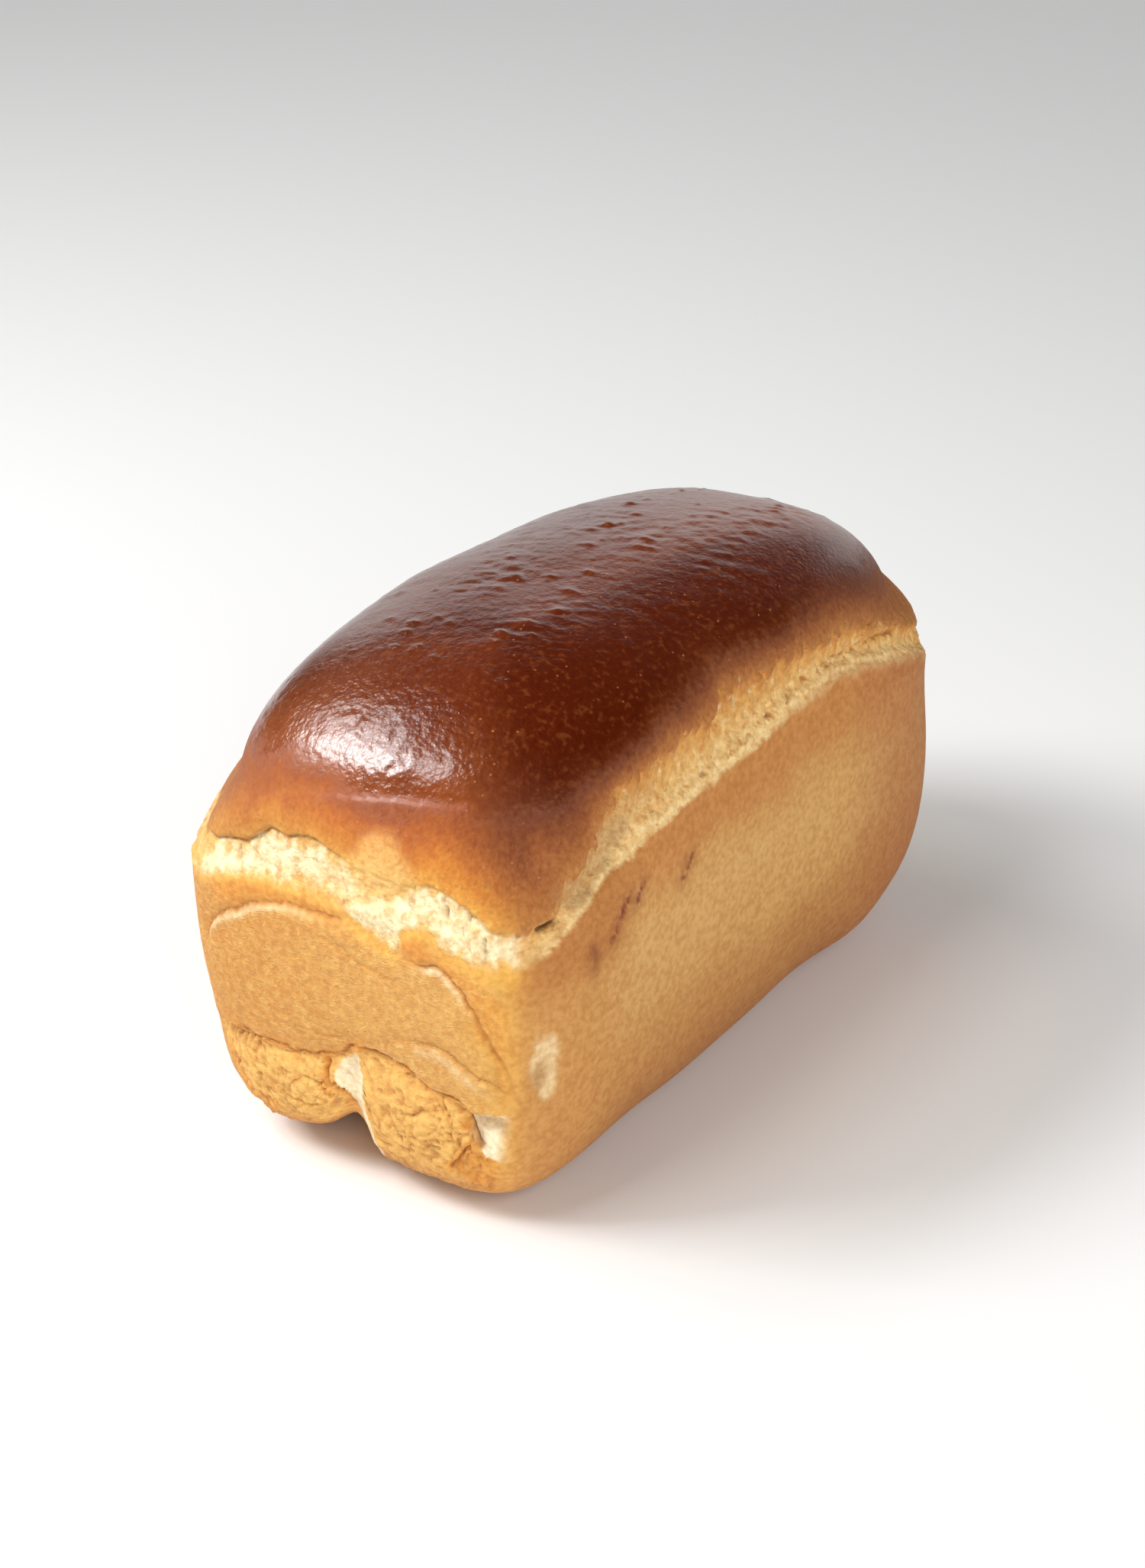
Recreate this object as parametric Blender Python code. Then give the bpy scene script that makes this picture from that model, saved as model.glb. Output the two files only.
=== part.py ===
"""A milk bread loaf, baked in an open rectangular tin, as one solid.

The loaf lies along X. The end where the folded dough shows faces -X, and the origin is the
middle of the underside. Lengths are in millimetres until the last step writes metres.
"""

import bmesh
import bpy
import numpy as np
from mathutils import Vector, noise

NAME = "loaf"
MM = 0.001

# Overall form: half sizes at the widest level, and heights above the underside.
HALF_LENGTH = 98.8
HALF_WIDTH = 54.6
WIDEST_AT = 78.0
TOP_AT = 127.0
FOOT_SNAP = 0.7

# Squareness of the cross-section and of the plan: high below, where the tin shaped the dough,
# and low above, where the dome rose free.
CROSS_LOW = 5.6
CROSS_HIGH = 2.85
PLAN_LOW = 6.9
PLAN_HIGH = 3.6
PLAN_NEAR_END = -0.2

# Small departures of the walls from straight and of the dome from level.
END_FLARE = -0.02
SIDE_FLARE = 0.078
END_BELLY = -0.009
SIDE_BELLY = 0.018
DOME_INSET = 0.019
TOP_FALL_ALONG = -5.3
TOP_FALL_ACROSS = -2.1
LIP_FALL_ALONG = -1.0
LIP_FALL_ACROSS = -3.3
WOBBLE = 0.3
WOBBLE_LENGTH = 38.0

# Soft swells and dents of hand-shaped dough: centre (x, y, z), radius and height.
SWELLS = (
    ((-84, -36, 6), 18, 1.3),
    ((-44, -43, 6), 16, -0.9),
    ((33, -45, 9), 18, -1.3),
    ((60, -45, 10), 14, 1.4),
    ((-91, 14, 8), 9, -2.4),
    ((-92, 44, 32), 16, -1.6),
    ((-88, 44, 90), 10, -1.1),
    ((-60, 41, 112), 26, -1.5),
    ((-13, 37, 119), 18, 1.5),
    ((63, 32, 114), 24, -1.5),
    ((91, -48, 72), 15, -1.2),
)

# The torn band round the loaf, between the tin's rim and the crust of the dome.
SIDE_WALL_TOP = 91.5
SIDE_WALL_DROP = 17.0
SIDE_CRUST_EDGE = 106.0
SIDE_CRUST_DROP = 16.0
END_WALL_TOP = 80.0
END_WALL_DROP = 7.0
END_CRUST_EDGE = 94.0
END_CRUST_DROP = 10.5
SIDE_TEAR_DEPTH = 2.8
END_TEAR_DEPTH = 3.4
CORNER_TEAR_DEPTH = 1.2
CRUST_LIP = 0.4
CRUST_LIP_HEIGHT = 5.0
CRACK_HEIGHT = 1.8

# Creases of the folded dough on an end, as points (y, z) along each one, then the depth and
# the widths of its slopes left and right of the line as it runs.
CREASES = {
    "top of the flap": (
        ((39, 58), (36, 66), (30, 69.5), (20, 74), (6, 76), (-4, 78)), 3.0, 0.9, 2.6
    ),
    "foot of the flap": (
        ((33, 37.5), (18, 36), (6, 37.5), (-5, 43), (-15, 43), (-25, 39.5), (-35, 37)), 3.2, 2.6, 1.2
    ),
    "edge of the side fold": (
        ((-20, 77), (-22, 72), (-29, 72.5), (-37, 64), (-43, 52), (-46, 41)), 3.0, 1.0, 2.6
    ),
    "inner layer": (((-21, 51), (-30, 50.5), (-34, 47), (-39, 41)), 1.2, 1.2, 3.0),
    "left lobe": (((37, 27), (32, 21), (25, 18.5)), 1.2, 1.4, 2.2),
    "right lobe": (((-32, 25), (-26, 12)), 1.8, 1.4, 1.8),
}
CREASE_FADE = 0.12

# Hollows and swells of an end, each a soft oval: centre (y, z), half sizes and height.
OVALS = (
    ("channel between the lobes", (1, 31), (4.5, 10), -3.6),
    ("pocket by the corner", (-40, 29), (5, 8.5), -4.0),
    ("plug in the pocket", (-40, 25), (4, 3.5), 2.2),
    ("gap beside the flap", (-13, 75), (7, 3.5), -1.8),
    ("tongue of the side fold", (-25, 76), (5, 4), 1.4),
    ("left lobe", (20, 24), (18, 12), 1.4),
    ("right lobe", (-18, 26), (15, 14), 1.6),
    ("flap", (4, 57), (32, 16), 1.3),
)
LOBES_SET_BACK = 1.0

# The gap under the loaf where the two lobes of an end meet.
NOTCH_AT = -3.5
NOTCH_HEIGHT = 17.0
NOTCH_REACH = 34.0
NOTCH_SLANT = 0.7
NOTCH_LEFT = 7.5
NOTCH_RIGHT = 3.2
NOTCH_FADES_AT = 46.0

# The far end is the same roll seen the other way, so its folds are mirrored and looser.
FAR_SCALE_Y = -0.93
FAR_SCALE_Z = 0.96
FAR_SHIFT_Z = 2.5
FAR_RELIEF = 0.85
FAR_NOTCH = 0.7

# Mesh: cells along X, Y and Z, halved once where the surface is torn or folded.
CELLS = (19, 22, 22)
MAGNET = 1.2

CRUST_COLOUR = (0.52, 0.25, 0.08, 1.0)
CRUST_ROUGHNESS = 0.55


def smooth(t):
    """A ramp from 0 to 1 with level ends."""
    t = np.clip(t, 0.0, 1.0)
    return t * t * (3.0 - 2.0 * t)


def hump(t):
    """A bell: 1 at zero, and next to nothing from about 2."""
    return np.exp(-t * t)


def cube_grid(cells):
    """A cube from -1 to 1, cut into cells along each axis."""
    bm = bmesh.new()
    bmesh.ops.create_cube(bm, size=2.0)
    for axis, count in enumerate(cells):
        along = [e for e in bm.edges if abs((e.verts[0].co - e.verts[1].co)[axis]) > 1e-6]
        bmesh.ops.subdivide_edges(bm, edges=along, cuts=count - 1, use_grid_fill=True)
    return bm


def plain_loaf(cube):
    """Points of the cube as points of the loaf before any crack or fold, in millimetres."""
    x, y, z = cube.T
    up = smooth(z / 0.5)
    cross = np.where(z > 0, CROSS_HIGH, CROSS_LOW)
    plan_high = PLAN_HIGH + PLAN_NEAR_END * np.clip(-x, 0, 1)
    plan = PLAN_LOW + (plan_high - PLAN_LOW) * up
    reach = (np.abs(y) ** cross + np.abs(z) ** cross) ** (1 / cross)
    reach = (reach**plan + np.abs(x) ** plan) ** (1 / plan)
    x, y, z = (cube / reach[:, None]).T
    lip = WIDEST_AT + LIP_FALL_ALONG * x + LIP_FALL_ACROSS * y
    top = TOP_AT + TOP_FALL_ALONG * x + TOP_FALL_ACROSS * y
    height = np.where(z > 0, lip + z * (top - lip), lip * (1 + z))
    drop = np.clip(-z, 0, 1)
    belly = np.sin(np.pi * drop)
    inset = DOME_INSET * smooth(z / 0.15)
    half_length = HALF_LENGTH * (1 - END_FLARE * drop + END_BELLY * belly - inset)
    half_width = HALF_WIDTH * (1 - SIDE_FLARE * drop + SIDE_BELLY * belly - inset)
    return np.stack([x * half_length, y * half_width, height], 1)


def end_share(normal):
    """How far a point belongs to an end of the loaf, from 0 on a long side to 1 on an end."""
    flat = normal[:, 0] ** 2 + normal[:, 1] ** 2 + 1e-9
    return normal[:, 0] ** 2 / flat


def tear_lines(point, end):
    """Heights of the wall's top and of the dome crust's lower edge at each point."""
    x, y, _ = point.T
    along = np.abs(x) / 90.0
    side_low = SIDE_WALL_TOP + 0.02 * x + 2.5 * hump((x - 30) / 25) - SIDE_WALL_DROP * along**3.5
    side_high = SIDE_CRUST_EDGE + 0.03 * x - SIDE_CRUST_DROP * (along * 1.06) ** 3
    across = np.abs(y) / 44.0
    dip = hump((y + 13) / 6)
    end_low = END_WALL_TOP - 4 * dip - END_WALL_DROP * across**3
    end_high = END_CRUST_EDGE - 3 * dip - END_CRUST_DROP * across**2.5
    low = side_low + (end_low - side_low) * end
    high = side_high + (end_high - side_high) * end
    return low, high


def tear_relief(point, end):
    """The torn band: a hollow on the long sides, and a step up to the crust on the ends."""
    z = point[:, 2]
    low, high = tear_lines(point, end)
    share = (z - low) / (high - low)
    inside = np.clip(share, 0, 1)
    hollow = np.sin(np.pi * inside) ** 0.7
    ledge = inside * np.clip(1 - (z - high) / CRACK_HEIGHT, 0, 1)
    corner = 4 * end * (1 - end) * smooth(share * 2) * np.clip(1 - (z - high) / 4, 0, 1)
    relief = -SIDE_TEAR_DEPTH * (1 - end) * hollow
    relief -= END_TEAR_DEPTH * end * ledge
    relief -= CORNER_TEAR_DEPTH * corner * np.sin(np.pi * np.clip(inside, 0.1, 1) * 0.75)
    lip = hump((z - high - CRUST_LIP_HEIGHT) / CRUST_LIP_HEIGHT) * (z > high)
    return relief + CRUST_LIP * lip


def along_line(places, line):
    """Distance, side (+1 right, -1 left), share run and nearest point of each place to a line."""
    line = np.array(line, float)
    lengths = np.linalg.norm(np.diff(line, axis=0), axis=1)
    run = np.concatenate([[0], np.cumsum(lengths)]) / lengths.sum()
    best = np.full(len(places), np.inf)
    side = np.ones(len(places))
    share = np.zeros(len(places))
    nearest = np.zeros((len(places), 2))
    for a, b, start, stop in zip(line[:-1], line[1:], run[:-1], run[1:]):
        step = b - a
        t = np.clip((places - a) @ step / (step @ step), 0, 1)
        foot = a + t[:, None] * step
        gap = places - foot
        distance = np.linalg.norm(gap, axis=1)
        closer = distance < best
        best[closer] = distance[closer]
        cross = gap[:, 1] * step[0] - gap[:, 0] * step[1]
        side[closer] = np.where(cross > 0, -1, 1)[closer]
        share[closer] = (start + (stop - start) * t)[closer]
        nearest[closer] = foot[closer]
    return best, side, share, nearest


def end_relief(places):
    """The folds of the dough on the near end, at places (y, z) that are seen from -X."""
    y, z = places.T
    relief = np.zeros(len(places))
    for line, depth, left, right in CREASES.values():
        distance, side, share, _ = along_line(places, line)
        width = np.where(side > 0, right, left)
        fade = smooth(np.minimum(share, 1 - share) / CREASE_FADE)
        relief -= depth * (0.35 + 0.65 * fade) * np.exp(-distance / width)
    for _, (middle_y, middle_z), (half_y, half_z), height in OVALS:
        relief += height * hump(((y - middle_y) / half_y) ** 2 + ((z - middle_z) / half_z) ** 2)
    foot_of_flap = np.interp(-y, [-40, -18, -5, 5, 15, 25, 40], [38, 36, 38, 43, 43, 39, 36])
    relief -= LOBES_SET_BACK * smooth((foot_of_flap - z) / 3) * smooth((z - 8) / 10)
    return relief


def far_places(places):
    """Places on the far end, moved to where the same folds lie on the near end."""
    moved = places.copy()
    moved[:, 0] = places[:, 0] / FAR_SCALE_Y
    moved[:, 1] = (places[:, 1] - FAR_SHIFT_Z) / FAR_SCALE_Z
    return moved


def pull_to_creases(point, end):
    """Slides the points near a crease onto it, so that edges of the mesh run along it."""
    pulled = point.copy()
    for far in (False, True):
        here = (point[:, 0] > 0) == far
        here &= end > 0.8
        places = point[here][:, 1:]
        seen = far_places(places) if far else places
        shift = np.zeros_like(seen)
        closest = np.full(len(seen), MAGNET)
        for line, *_ in CREASES.values():
            distance, _, share, nearest = along_line(seen, line)
            taken = (distance < closest) & (share > 0) & (share < 1)
            closest[taken] = distance[taken]
            shift[taken] = (nearest - seen)[taken]
        if far:
            shift *= (FAR_SCALE_Y, FAR_SCALE_Z)
        pulled[here, 1:] = places + shift
    return pulled


def notch_lift(point):
    """How far the gap between an end's two lobes lifts the underside."""
    x, y, z = point.T
    far = x > 0
    inward = HALF_LENGTH - np.abs(x)
    across = np.where(far, y / FAR_SCALE_Y, y) - NOTCH_AT - NOTCH_SLANT * inward
    width = np.where(across > 0, NOTCH_LEFT, NOTCH_RIGHT)
    wedge = np.clip(1 - inward / NOTCH_REACH, 0, 1.05)
    height = NOTCH_HEIGHT * np.where(far, FAR_NOTCH, 1.0)
    return height * wedge * hump(across / width) * np.clip(1 - z / NOTCH_FADES_AT, 0, 1)


def unevenness(point):
    """The swells, the dents and the slow wobble of hand-shaped dough."""
    relief = 2 * WOBBLE * np.array([noise.noise(Vector(spot)) for spot in point / WOBBLE_LENGTH])
    for centre, radius, height in SWELLS:
        relief += height * hump(np.linalg.norm(point - centre, axis=1) / radius)
    return relief


def positions(bm):
    return np.array([v.co[:] for v in bm.verts])


def place(bm, points):
    for vert, point in zip(bm.verts, points):
        vert.co = point
    bm.normal_update()


def refine(bm):
    """Halves the cells that carry the torn band or the folds of an end."""
    cube = positions(bm)
    place(bm, plain_loaf(cube))
    middles = np.array([f.calc_center_median()[:] for f in bm.faces])
    normals = np.array([f.normal[:] for f in bm.faces])
    end = end_share(normals)
    low, high = tear_lines(middles, end)
    torn = (middles[:, 2] > low - 3) & (middles[:, 2] < high + 4) & (np.abs(normals[:, 2]) < 0.75)
    folded = (np.abs(normals[:, 0]) > 0.55) & (middles[:, 2] < END_CRUST_EDGE)
    under = (normals[:, 2] < -0.5) & (np.abs(middles[:, 1]) < 22)
    under &= np.abs(middles[:, 0]) > HALF_LENGTH - NOTCH_REACH
    edges = {e for f, halve in zip(bm.faces, torn | folded | under) if halve for e in f.edges}
    place(bm, cube)
    bmesh.ops.subdivide_edges(bm, edges=list(edges), cuts=1, use_grid_fill=True)


def loaf_mesh():
    bm = cube_grid(CELLS)
    refine(bm)
    point = plain_loaf(positions(bm))
    place(bm, point)
    normal = np.array([v.normal[:] for v in bm.verts])
    end = end_share(normal)
    point = pull_to_creases(point, end * (1 - np.abs(normal[:, 2])))
    places = point[:, 1:]
    near = end_relief(places)
    far = end_relief(far_places(places)) * FAR_RELIEF
    on_end = smooth((end - 0.35) / 0.45) * smooth((1 - np.abs(normal[:, 2])) / 0.3)
    below_crust = smooth((END_CRUST_EDGE - 8 - point[:, 2]) / 6)
    relief = np.where(point[:, 0] < 0, near, far) * on_end * below_crust
    relief += tear_relief(point, end) + unevenness(point)
    point = point + normal * relief[:, None]
    point[:, 2] += notch_lift(point)
    point[:, 2] = np.where(point[:, 2] < FOOT_SNAP, 0, point[:, 2])
    point[:, :2] -= (point[:, :2].max(0) + point[:, :2].min(0)) / 2
    place(bm, point * MM)
    foot = [f for f in bm.faces if all(v.co.z == 0 for v in f.verts)]
    bmesh.ops.dissolve_faces(bm, faces=foot)
    bmesh.ops.triangulate(bm, faces=bm.faces[:], quad_method="SHORT_EDGE")
    mesh = bpy.data.meshes.new(NAME)
    bm.to_mesh(mesh)
    bm.free()
    return mesh


def crust_material():
    material = bpy.data.materials.new("golden crust")
    material.use_nodes = True
    shader = material.node_tree.nodes["Principled BSDF"]
    shader.inputs["Base Color"].default_value = CRUST_COLOUR
    shader.inputs["Roughness"].default_value = CRUST_ROUGHNESS
    shader.inputs["Metallic"].default_value = 0.0
    return material


def main():
    for obj in list(bpy.data.objects):
        bpy.data.objects.remove(obj, do_unlink=True)
    collection = bpy.data.collections.new("milk bread")
    bpy.context.scene.collection.children.link(collection)
    mesh = loaf_mesh()
    mesh.shade_smooth()
    mesh.materials.append(crust_material())
    collection.objects.link(bpy.data.objects.new(NAME, mesh))


main()
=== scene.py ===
import math

import bmesh
import bpy
import numpy as np
from mathutils import Matrix, Vector, noise


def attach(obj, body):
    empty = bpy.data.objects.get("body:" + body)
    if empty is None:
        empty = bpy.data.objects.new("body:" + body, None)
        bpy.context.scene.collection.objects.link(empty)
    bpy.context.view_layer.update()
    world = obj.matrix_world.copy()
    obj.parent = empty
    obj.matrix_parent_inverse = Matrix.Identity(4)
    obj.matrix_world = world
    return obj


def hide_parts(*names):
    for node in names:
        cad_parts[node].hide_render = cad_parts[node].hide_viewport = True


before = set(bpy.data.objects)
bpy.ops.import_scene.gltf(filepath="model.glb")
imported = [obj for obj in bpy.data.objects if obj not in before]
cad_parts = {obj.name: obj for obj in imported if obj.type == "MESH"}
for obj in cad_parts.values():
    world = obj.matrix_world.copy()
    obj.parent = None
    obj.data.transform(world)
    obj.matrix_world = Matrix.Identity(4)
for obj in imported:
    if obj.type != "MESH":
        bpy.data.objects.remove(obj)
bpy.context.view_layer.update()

# The table and the light. A pale seamless sweep stands under the loaf. A soft window hangs behind
# its left shoulder and gives the egg wash its highlight; broad weak panels fill the rest.

SWEEP_WHITE = (0.94, 0.94, 0.935, 1.0)
SWEEP_ROUGHNESS = 0.9
SWEEP_HALF = 3.0
AIR_WHITE = (1.0, 1.0, 1.0, 1.0)
AIR_STRENGTH = 0.15
LOAF_MIDDLE = Vector((0.0, 0.0, 0.06))


def plain_material(name, colour, roughness):
    material = bpy.data.materials.new(name)
    material.use_nodes = True
    shader = material.node_tree.nodes["Principled BSDF"]
    shader.inputs["Base Color"].default_value = colour
    shader.inputs["Roughness"].default_value = roughness
    return material


def linked(name, data):
    obj = bpy.data.objects.new(name, data)
    bpy.context.scene.collection.objects.link(obj)
    return obj


def studio_floor():
    bm = bmesh.new()
    bmesh.ops.create_grid(bm, x_segments=1, y_segments=1, size=SWEEP_HALF)
    mesh = bpy.data.meshes.new("studio floor")
    bm.to_mesh(mesh)
    bm.free()
    mesh.materials.append(plain_material("white sweep", SWEEP_WHITE, SWEEP_ROUGHNESS))
    floor = linked("studio_floor", mesh)


def towards(azimuth, elevation):
    """The direction at an azimuth, where 0 is the side of -Y, and an elevation, in degrees."""
    azimuth, elevation = math.radians(azimuth), math.radians(elevation)
    flat = math.cos(elevation)
    return Vector((math.sin(azimuth) * flat, -math.cos(azimuth) * flat, math.sin(elevation)))


def soft_light(name, azimuth, elevation, distance, size, watts, mirrored=True):
    """An area light, so wide and so tall, that faces the loaf; a fill isn't seen in the gloss."""
    data = bpy.data.lights.new(name, "AREA")
    data.shape = "RECTANGLE"
    data.size, data.size_y = size
    data.energy = watts
    light = linked(name, data)
    away = towards(azimuth, elevation)
    light.location = LOAF_MIDDLE + away * distance
    light.rotation_euler = away.to_track_quat("Z", "Y").to_euler()
    light.visible_glossy = mirrored


studio_floor()
soft_light("window", -139, 42, 1.1, (0.42, 0.34), 7.6)
soft_light("window_top", -108, 58, 1.1, (0.42, 0.36), 3.3)
soft_light("window_side", -170, 52, 1.1, (0.34, 0.30), 2.4)
soft_light("front_fill", -26, 24, 1.7, (1.5, 1.5), 19.0, mirrored=False)
soft_light("back_panel", 114, 6, 1.8, (2.1, 1.1), 5.0)

sky = bpy.data.worlds.new("studio air")
sky.use_nodes = True
air = sky.node_tree.nodes["Background"]
air.inputs["Color"].default_value = AIR_WHITE
air.inputs["Strength"].default_value = AIR_STRENGTH
sky.cycles_visibility.glossy = False
bpy.context.scene.world = sky
bpy.context.scene.view_settings.view_transform = "Standard"
bpy.context.scene.view_settings.look = "None"

# The camera. It stands off the near left corner of the loaf, a little above it, held a touch out
# of level, with a short telephoto lens.

CAMERA_AZIMUTH = -54.08
CAMERA_ELEVATION = 28.63
CAMERA_ROLL = -2.0
CAMERA_DISTANCE = 0.896
CAMERA_AIM = Vector((0.0032, 0.0039, 0.0637))
CAMERA_LENS = 81.7
SENSOR_WIDTH = 36.0
CLIP_START = 0.01


def photo_camera():
    back = towards(CAMERA_AZIMUTH, CAMERA_ELEVATION)
    roll = math.radians(CAMERA_ROLL)
    right = Vector((0, 0, 1)).cross(back).normalized()
    up = back.cross(right)
    turned_right = right * math.cos(roll) + up * math.sin(roll)
    turned_up = back.cross(turned_right)
    data = bpy.data.cameras.new("photo_camera")
    data.sensor_width = SENSOR_WIDTH
    data.lens = CAMERA_LENS
    data.clip_start = CLIP_START
    camera = linked("photo_camera", data)
    turn = Matrix((turned_right, turned_up, back)).transposed().to_4x4()
    camera.matrix_world = Matrix.Translation(CAMERA_AIM + back * CAMERA_DISTANCE) @ turn
    bpy.context.scene.camera = camera


photo_camera()

# The loaf. Enriched dough was rolled, folded at its ends and pressed into an open rectangular
# tin; the walls took the tin's shape, and above its rim the dough rose free, tore all round and
# browned under egg wash. Lengths in this section are in millimetres.

MM = 0.001
HALF_LENGTH = 98.8
HALF_WIDTH = 54.6
WIDEST_AT = 78.0
TOP_AT = 127.0
FOOT_SNAP = 0.7
# How square the loaf is in cross-section and in plan, below and above its widest line; then how
# its walls flare and belly, how the dome steps in above them, and how its top and rim slope.
CROSS_LOW = 5.6
CROSS_HIGH = 2.85
PLAN_LOW = 6.9
PLAN_HIGH = 3.6
PLAN_NEAR_END = -0.2
END_FLARE = -0.02
SIDE_FLARE = 0.078
END_BELLY = -0.009
SIDE_BELLY = 0.018
DOME_INSET = 0.019
DOME_INSET_BY = 0.15
DOME_ROUND_BY = 0.5
TOP_FALL_ALONG = -5.3
TOP_FALL_ACROSS = -2.1
LIP_FALL_ALONG = -1.0
LIP_FALL_ACROSS = -3.3
# The slow wobble of the walls: its height and its length.
WOBBLE = 0.375
WOBBLE_LENGTH = 38.0
# Swells and dents left by hands and tin: the middle, the radius and the height of each.
SWELLS = (
    ((-84, -36, 6), 18, 1.3),
    ((-44, -43, 6), 16, -0.9),
    ((33, -45, 9), 18, -1.3),
    ((60, -45, 10), 14, 1.4),
    ((-91, 14, 8), 9, -2.4),
    ((-92, 44, 32), 16, -1.6),
    ((-88, 44, 90), 10, -1.1),
    ((-60, 41, 112), 26, -1.5),
    ((-13, 37, 119), 18, 1.5),
    ((63, 32, 114), 24, -1.5),
    ((91, -48, 72), 15, -1.2),
)

# Cells of the coarse grid along X, Y and Z. They are halved, up to three times, where the crust
# is torn, folded or blistered.
CELLS = (64, 36, 42)
# What brings Blender's noise to about -1 to 1, and the step between one seed's noise and the next.
NOISE_GAIN = 1.6
SEED_STEP = (7.31, 3.17, 5.77)


def smooth(t):
    """A ramp from 0 to 1 with level ends."""
    t = np.clip(t, 0.0, 1.0)
    return t * t * (3.0 - 2.0 * t)


def hump(t):
    """A bell: 1 at zero, and next to nothing from about 2."""
    return np.exp(-t * t)


def grain(point, size, seed):
    """Smooth noise, about -1 to 1, with grains of a size, or of a size along each axis."""
    spots = point / np.array(size, float) + seed * np.array(SEED_STEP)
    return NOISE_GAIN * np.array([noise.noise(spot) for spot in spots])


def sway(point, first, second):
    """Two noises side by side, each with its grain size and its seed, to move places by."""
    return np.stack([grain(point, *first), grain(point, *second)], 1)


def cube_grid(cells):
    """A cube from -1 to 1, cut into cells along each axis."""
    bm = bmesh.new()
    bmesh.ops.create_cube(bm, size=2.0)
    for axis, count in enumerate(cells):
        along = [e for e in bm.edges if abs((e.verts[0].co - e.verts[1].co)[axis]) > 1e-6]
        bmesh.ops.subdivide_edges(bm, edges=along, cuts=count - 1, use_grid_fill=True)
    return bm


def plain_loaf(cube):
    """Points of the cube as points of the loaf before any crack or fold."""
    x, y, z = cube.T
    up = smooth(z / DOME_ROUND_BY)
    cross = np.where(z > 0, CROSS_HIGH, CROSS_LOW)
    plan_high = PLAN_HIGH + PLAN_NEAR_END * np.clip(-x, 0, 1)
    plan = PLAN_LOW + (plan_high - PLAN_LOW) * up
    reach = (np.abs(y) ** cross + np.abs(z) ** cross) ** (1 / cross)
    reach = (reach**plan + np.abs(x) ** plan) ** (1 / plan)
    x, y, z = (cube / reach[:, None]).T
    lip = WIDEST_AT + LIP_FALL_ALONG * x + LIP_FALL_ACROSS * y
    top = TOP_AT + TOP_FALL_ALONG * x + TOP_FALL_ACROSS * y
    height = np.where(z > 0, lip + z * (top - lip), lip * (1 + z))
    drop = np.clip(-z, 0, 1)
    belly = np.sin(np.pi * drop)
    inset = DOME_INSET * smooth(z / DOME_INSET_BY)
    half_length = HALF_LENGTH * (1 - END_FLARE * drop + END_BELLY * belly - inset)
    half_width = HALF_WIDTH * (1 - SIDE_FLARE * drop + SIDE_BELLY * belly - inset)
    return np.stack([x * half_length, y * half_width, height], 1)


def unevenness(point):
    """The swells, the dents and the slow wobble of hand-shaped dough."""
    relief = WOBBLE * grain(point, WOBBLE_LENGTH, 0)
    for centre, radius, height in SWELLS:
        relief += height * hump(np.linalg.norm(point - centre, axis=1) / radius)
    return relief


# The tear between the tin's rim and the dome. Each line gives heights along a wall: (x, z) on
# the long sides, (y, z) on the ends. The two hidden walls tore much as these did, mirrored.
SIDE_RIM = (
    (-92, 74), (-88, 75), (-84.5, 76.8), (-81, 78.9), (-77, 81.5), (-71, 84), (-67, 86.4),
    (-57, 88.2), (-48, 89.8), (-35, 90.6), (-16, 91.4), (-4, 91.9), (4, 92.2), (14, 93.4),
    (24, 94.2), (34, 94), (45, 92.4), (59, 89), (77, 83.5), (92, 78),
)
SIDE_EDGE = (
    (-92, 83.5), (-87, 84.5), (-83, 85.1), (-80, 88), (-77.5, 91), (-74, 92), (-69, 94.1),
    (-65, 96.6), (-62.5, 99.4), (-58, 101.6), (-54, 103.2), (-48, 104), (-43, 104.2),
    (-36, 105.4), (-30, 105.8), (-26, 104.6), (-20, 105.1), (-13, 106.5), (-9, 108.4),
    (-2, 108.2), (9, 107.2), (16, 105.7), (28, 105.2), (41, 104.2), (57, 99.8), (73, 93.8),
    (92, 88),
)
END_RIM = (
    (-48, 73), (-44.8, 74.5), (-40.8, 75.9), (-36, 77.7), (-31, 79), (-28.5, 82.5), (-24, 82),
    (-20.5, 79.5), (-18.5, 74), (-16, 75), (-13.5, 76), (-9, 76.8), (-6, 79.5), (-3.5, 81.6),
    (1, 82.4), (13, 82.2), (25, 81.3), (30, 80), (37, 76.8), (41.5, 74.8), (48, 72),
)
END_EDGE = (
    (-48, 83.5), (-44.7, 84), (-41.3, 86.4), (-38, 88.7), (-33.7, 90.9), (-29, 92.8),
    (-24, 92.2), (-20, 91), (-14, 91.2), (-8, 91.6), (-4.7, 92.6), (-3.3, 93.4), (1, 93.8),
    (4, 95), (8, 95), (13, 93.8), (17.4, 94.3), (18.6, 93.8), (22, 91.4), (26, 88.6),
    (31, 87.4), (36.3, 85.9), (40.7, 83.3), (43.3, 80.8), (48, 79),
)
MIRRORED = -0.93
# How far these lines wander, broadly and finely; the sides' edge also has tongues pulled up.
RIM_WANDER = (0.6, 0.5)
SIDE_WANDER = (0.9, 2.6, 0.6)
END_WANDER = (0.25, 0.3)
TONGUE_LEVEL = 0.35
# The pulled strands lean to +X as they rise, and are this many times longer than wide.
SHRED_LEAN = 0.45
SHRED_STRETCH = 6.0
# Depths of the torn band on the sides, on the ends and at the corners; then the crust's lip above
# it and the crack between the two.
SIDE_TEAR_DEPTH = 2.2
END_TEAR_DEPTH = 1.4
CORNER_TEAR_DEPTH = 0.4
CORNER_TEAR_REACH = 4
CRUST_LIP = 0.4
CRUST_LIP_HEIGHT = 5.0
CRACK_HEIGHT = 0.9
CRACK_DEPTH = 0.7
CRACK_WIDTH = 0.5
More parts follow.
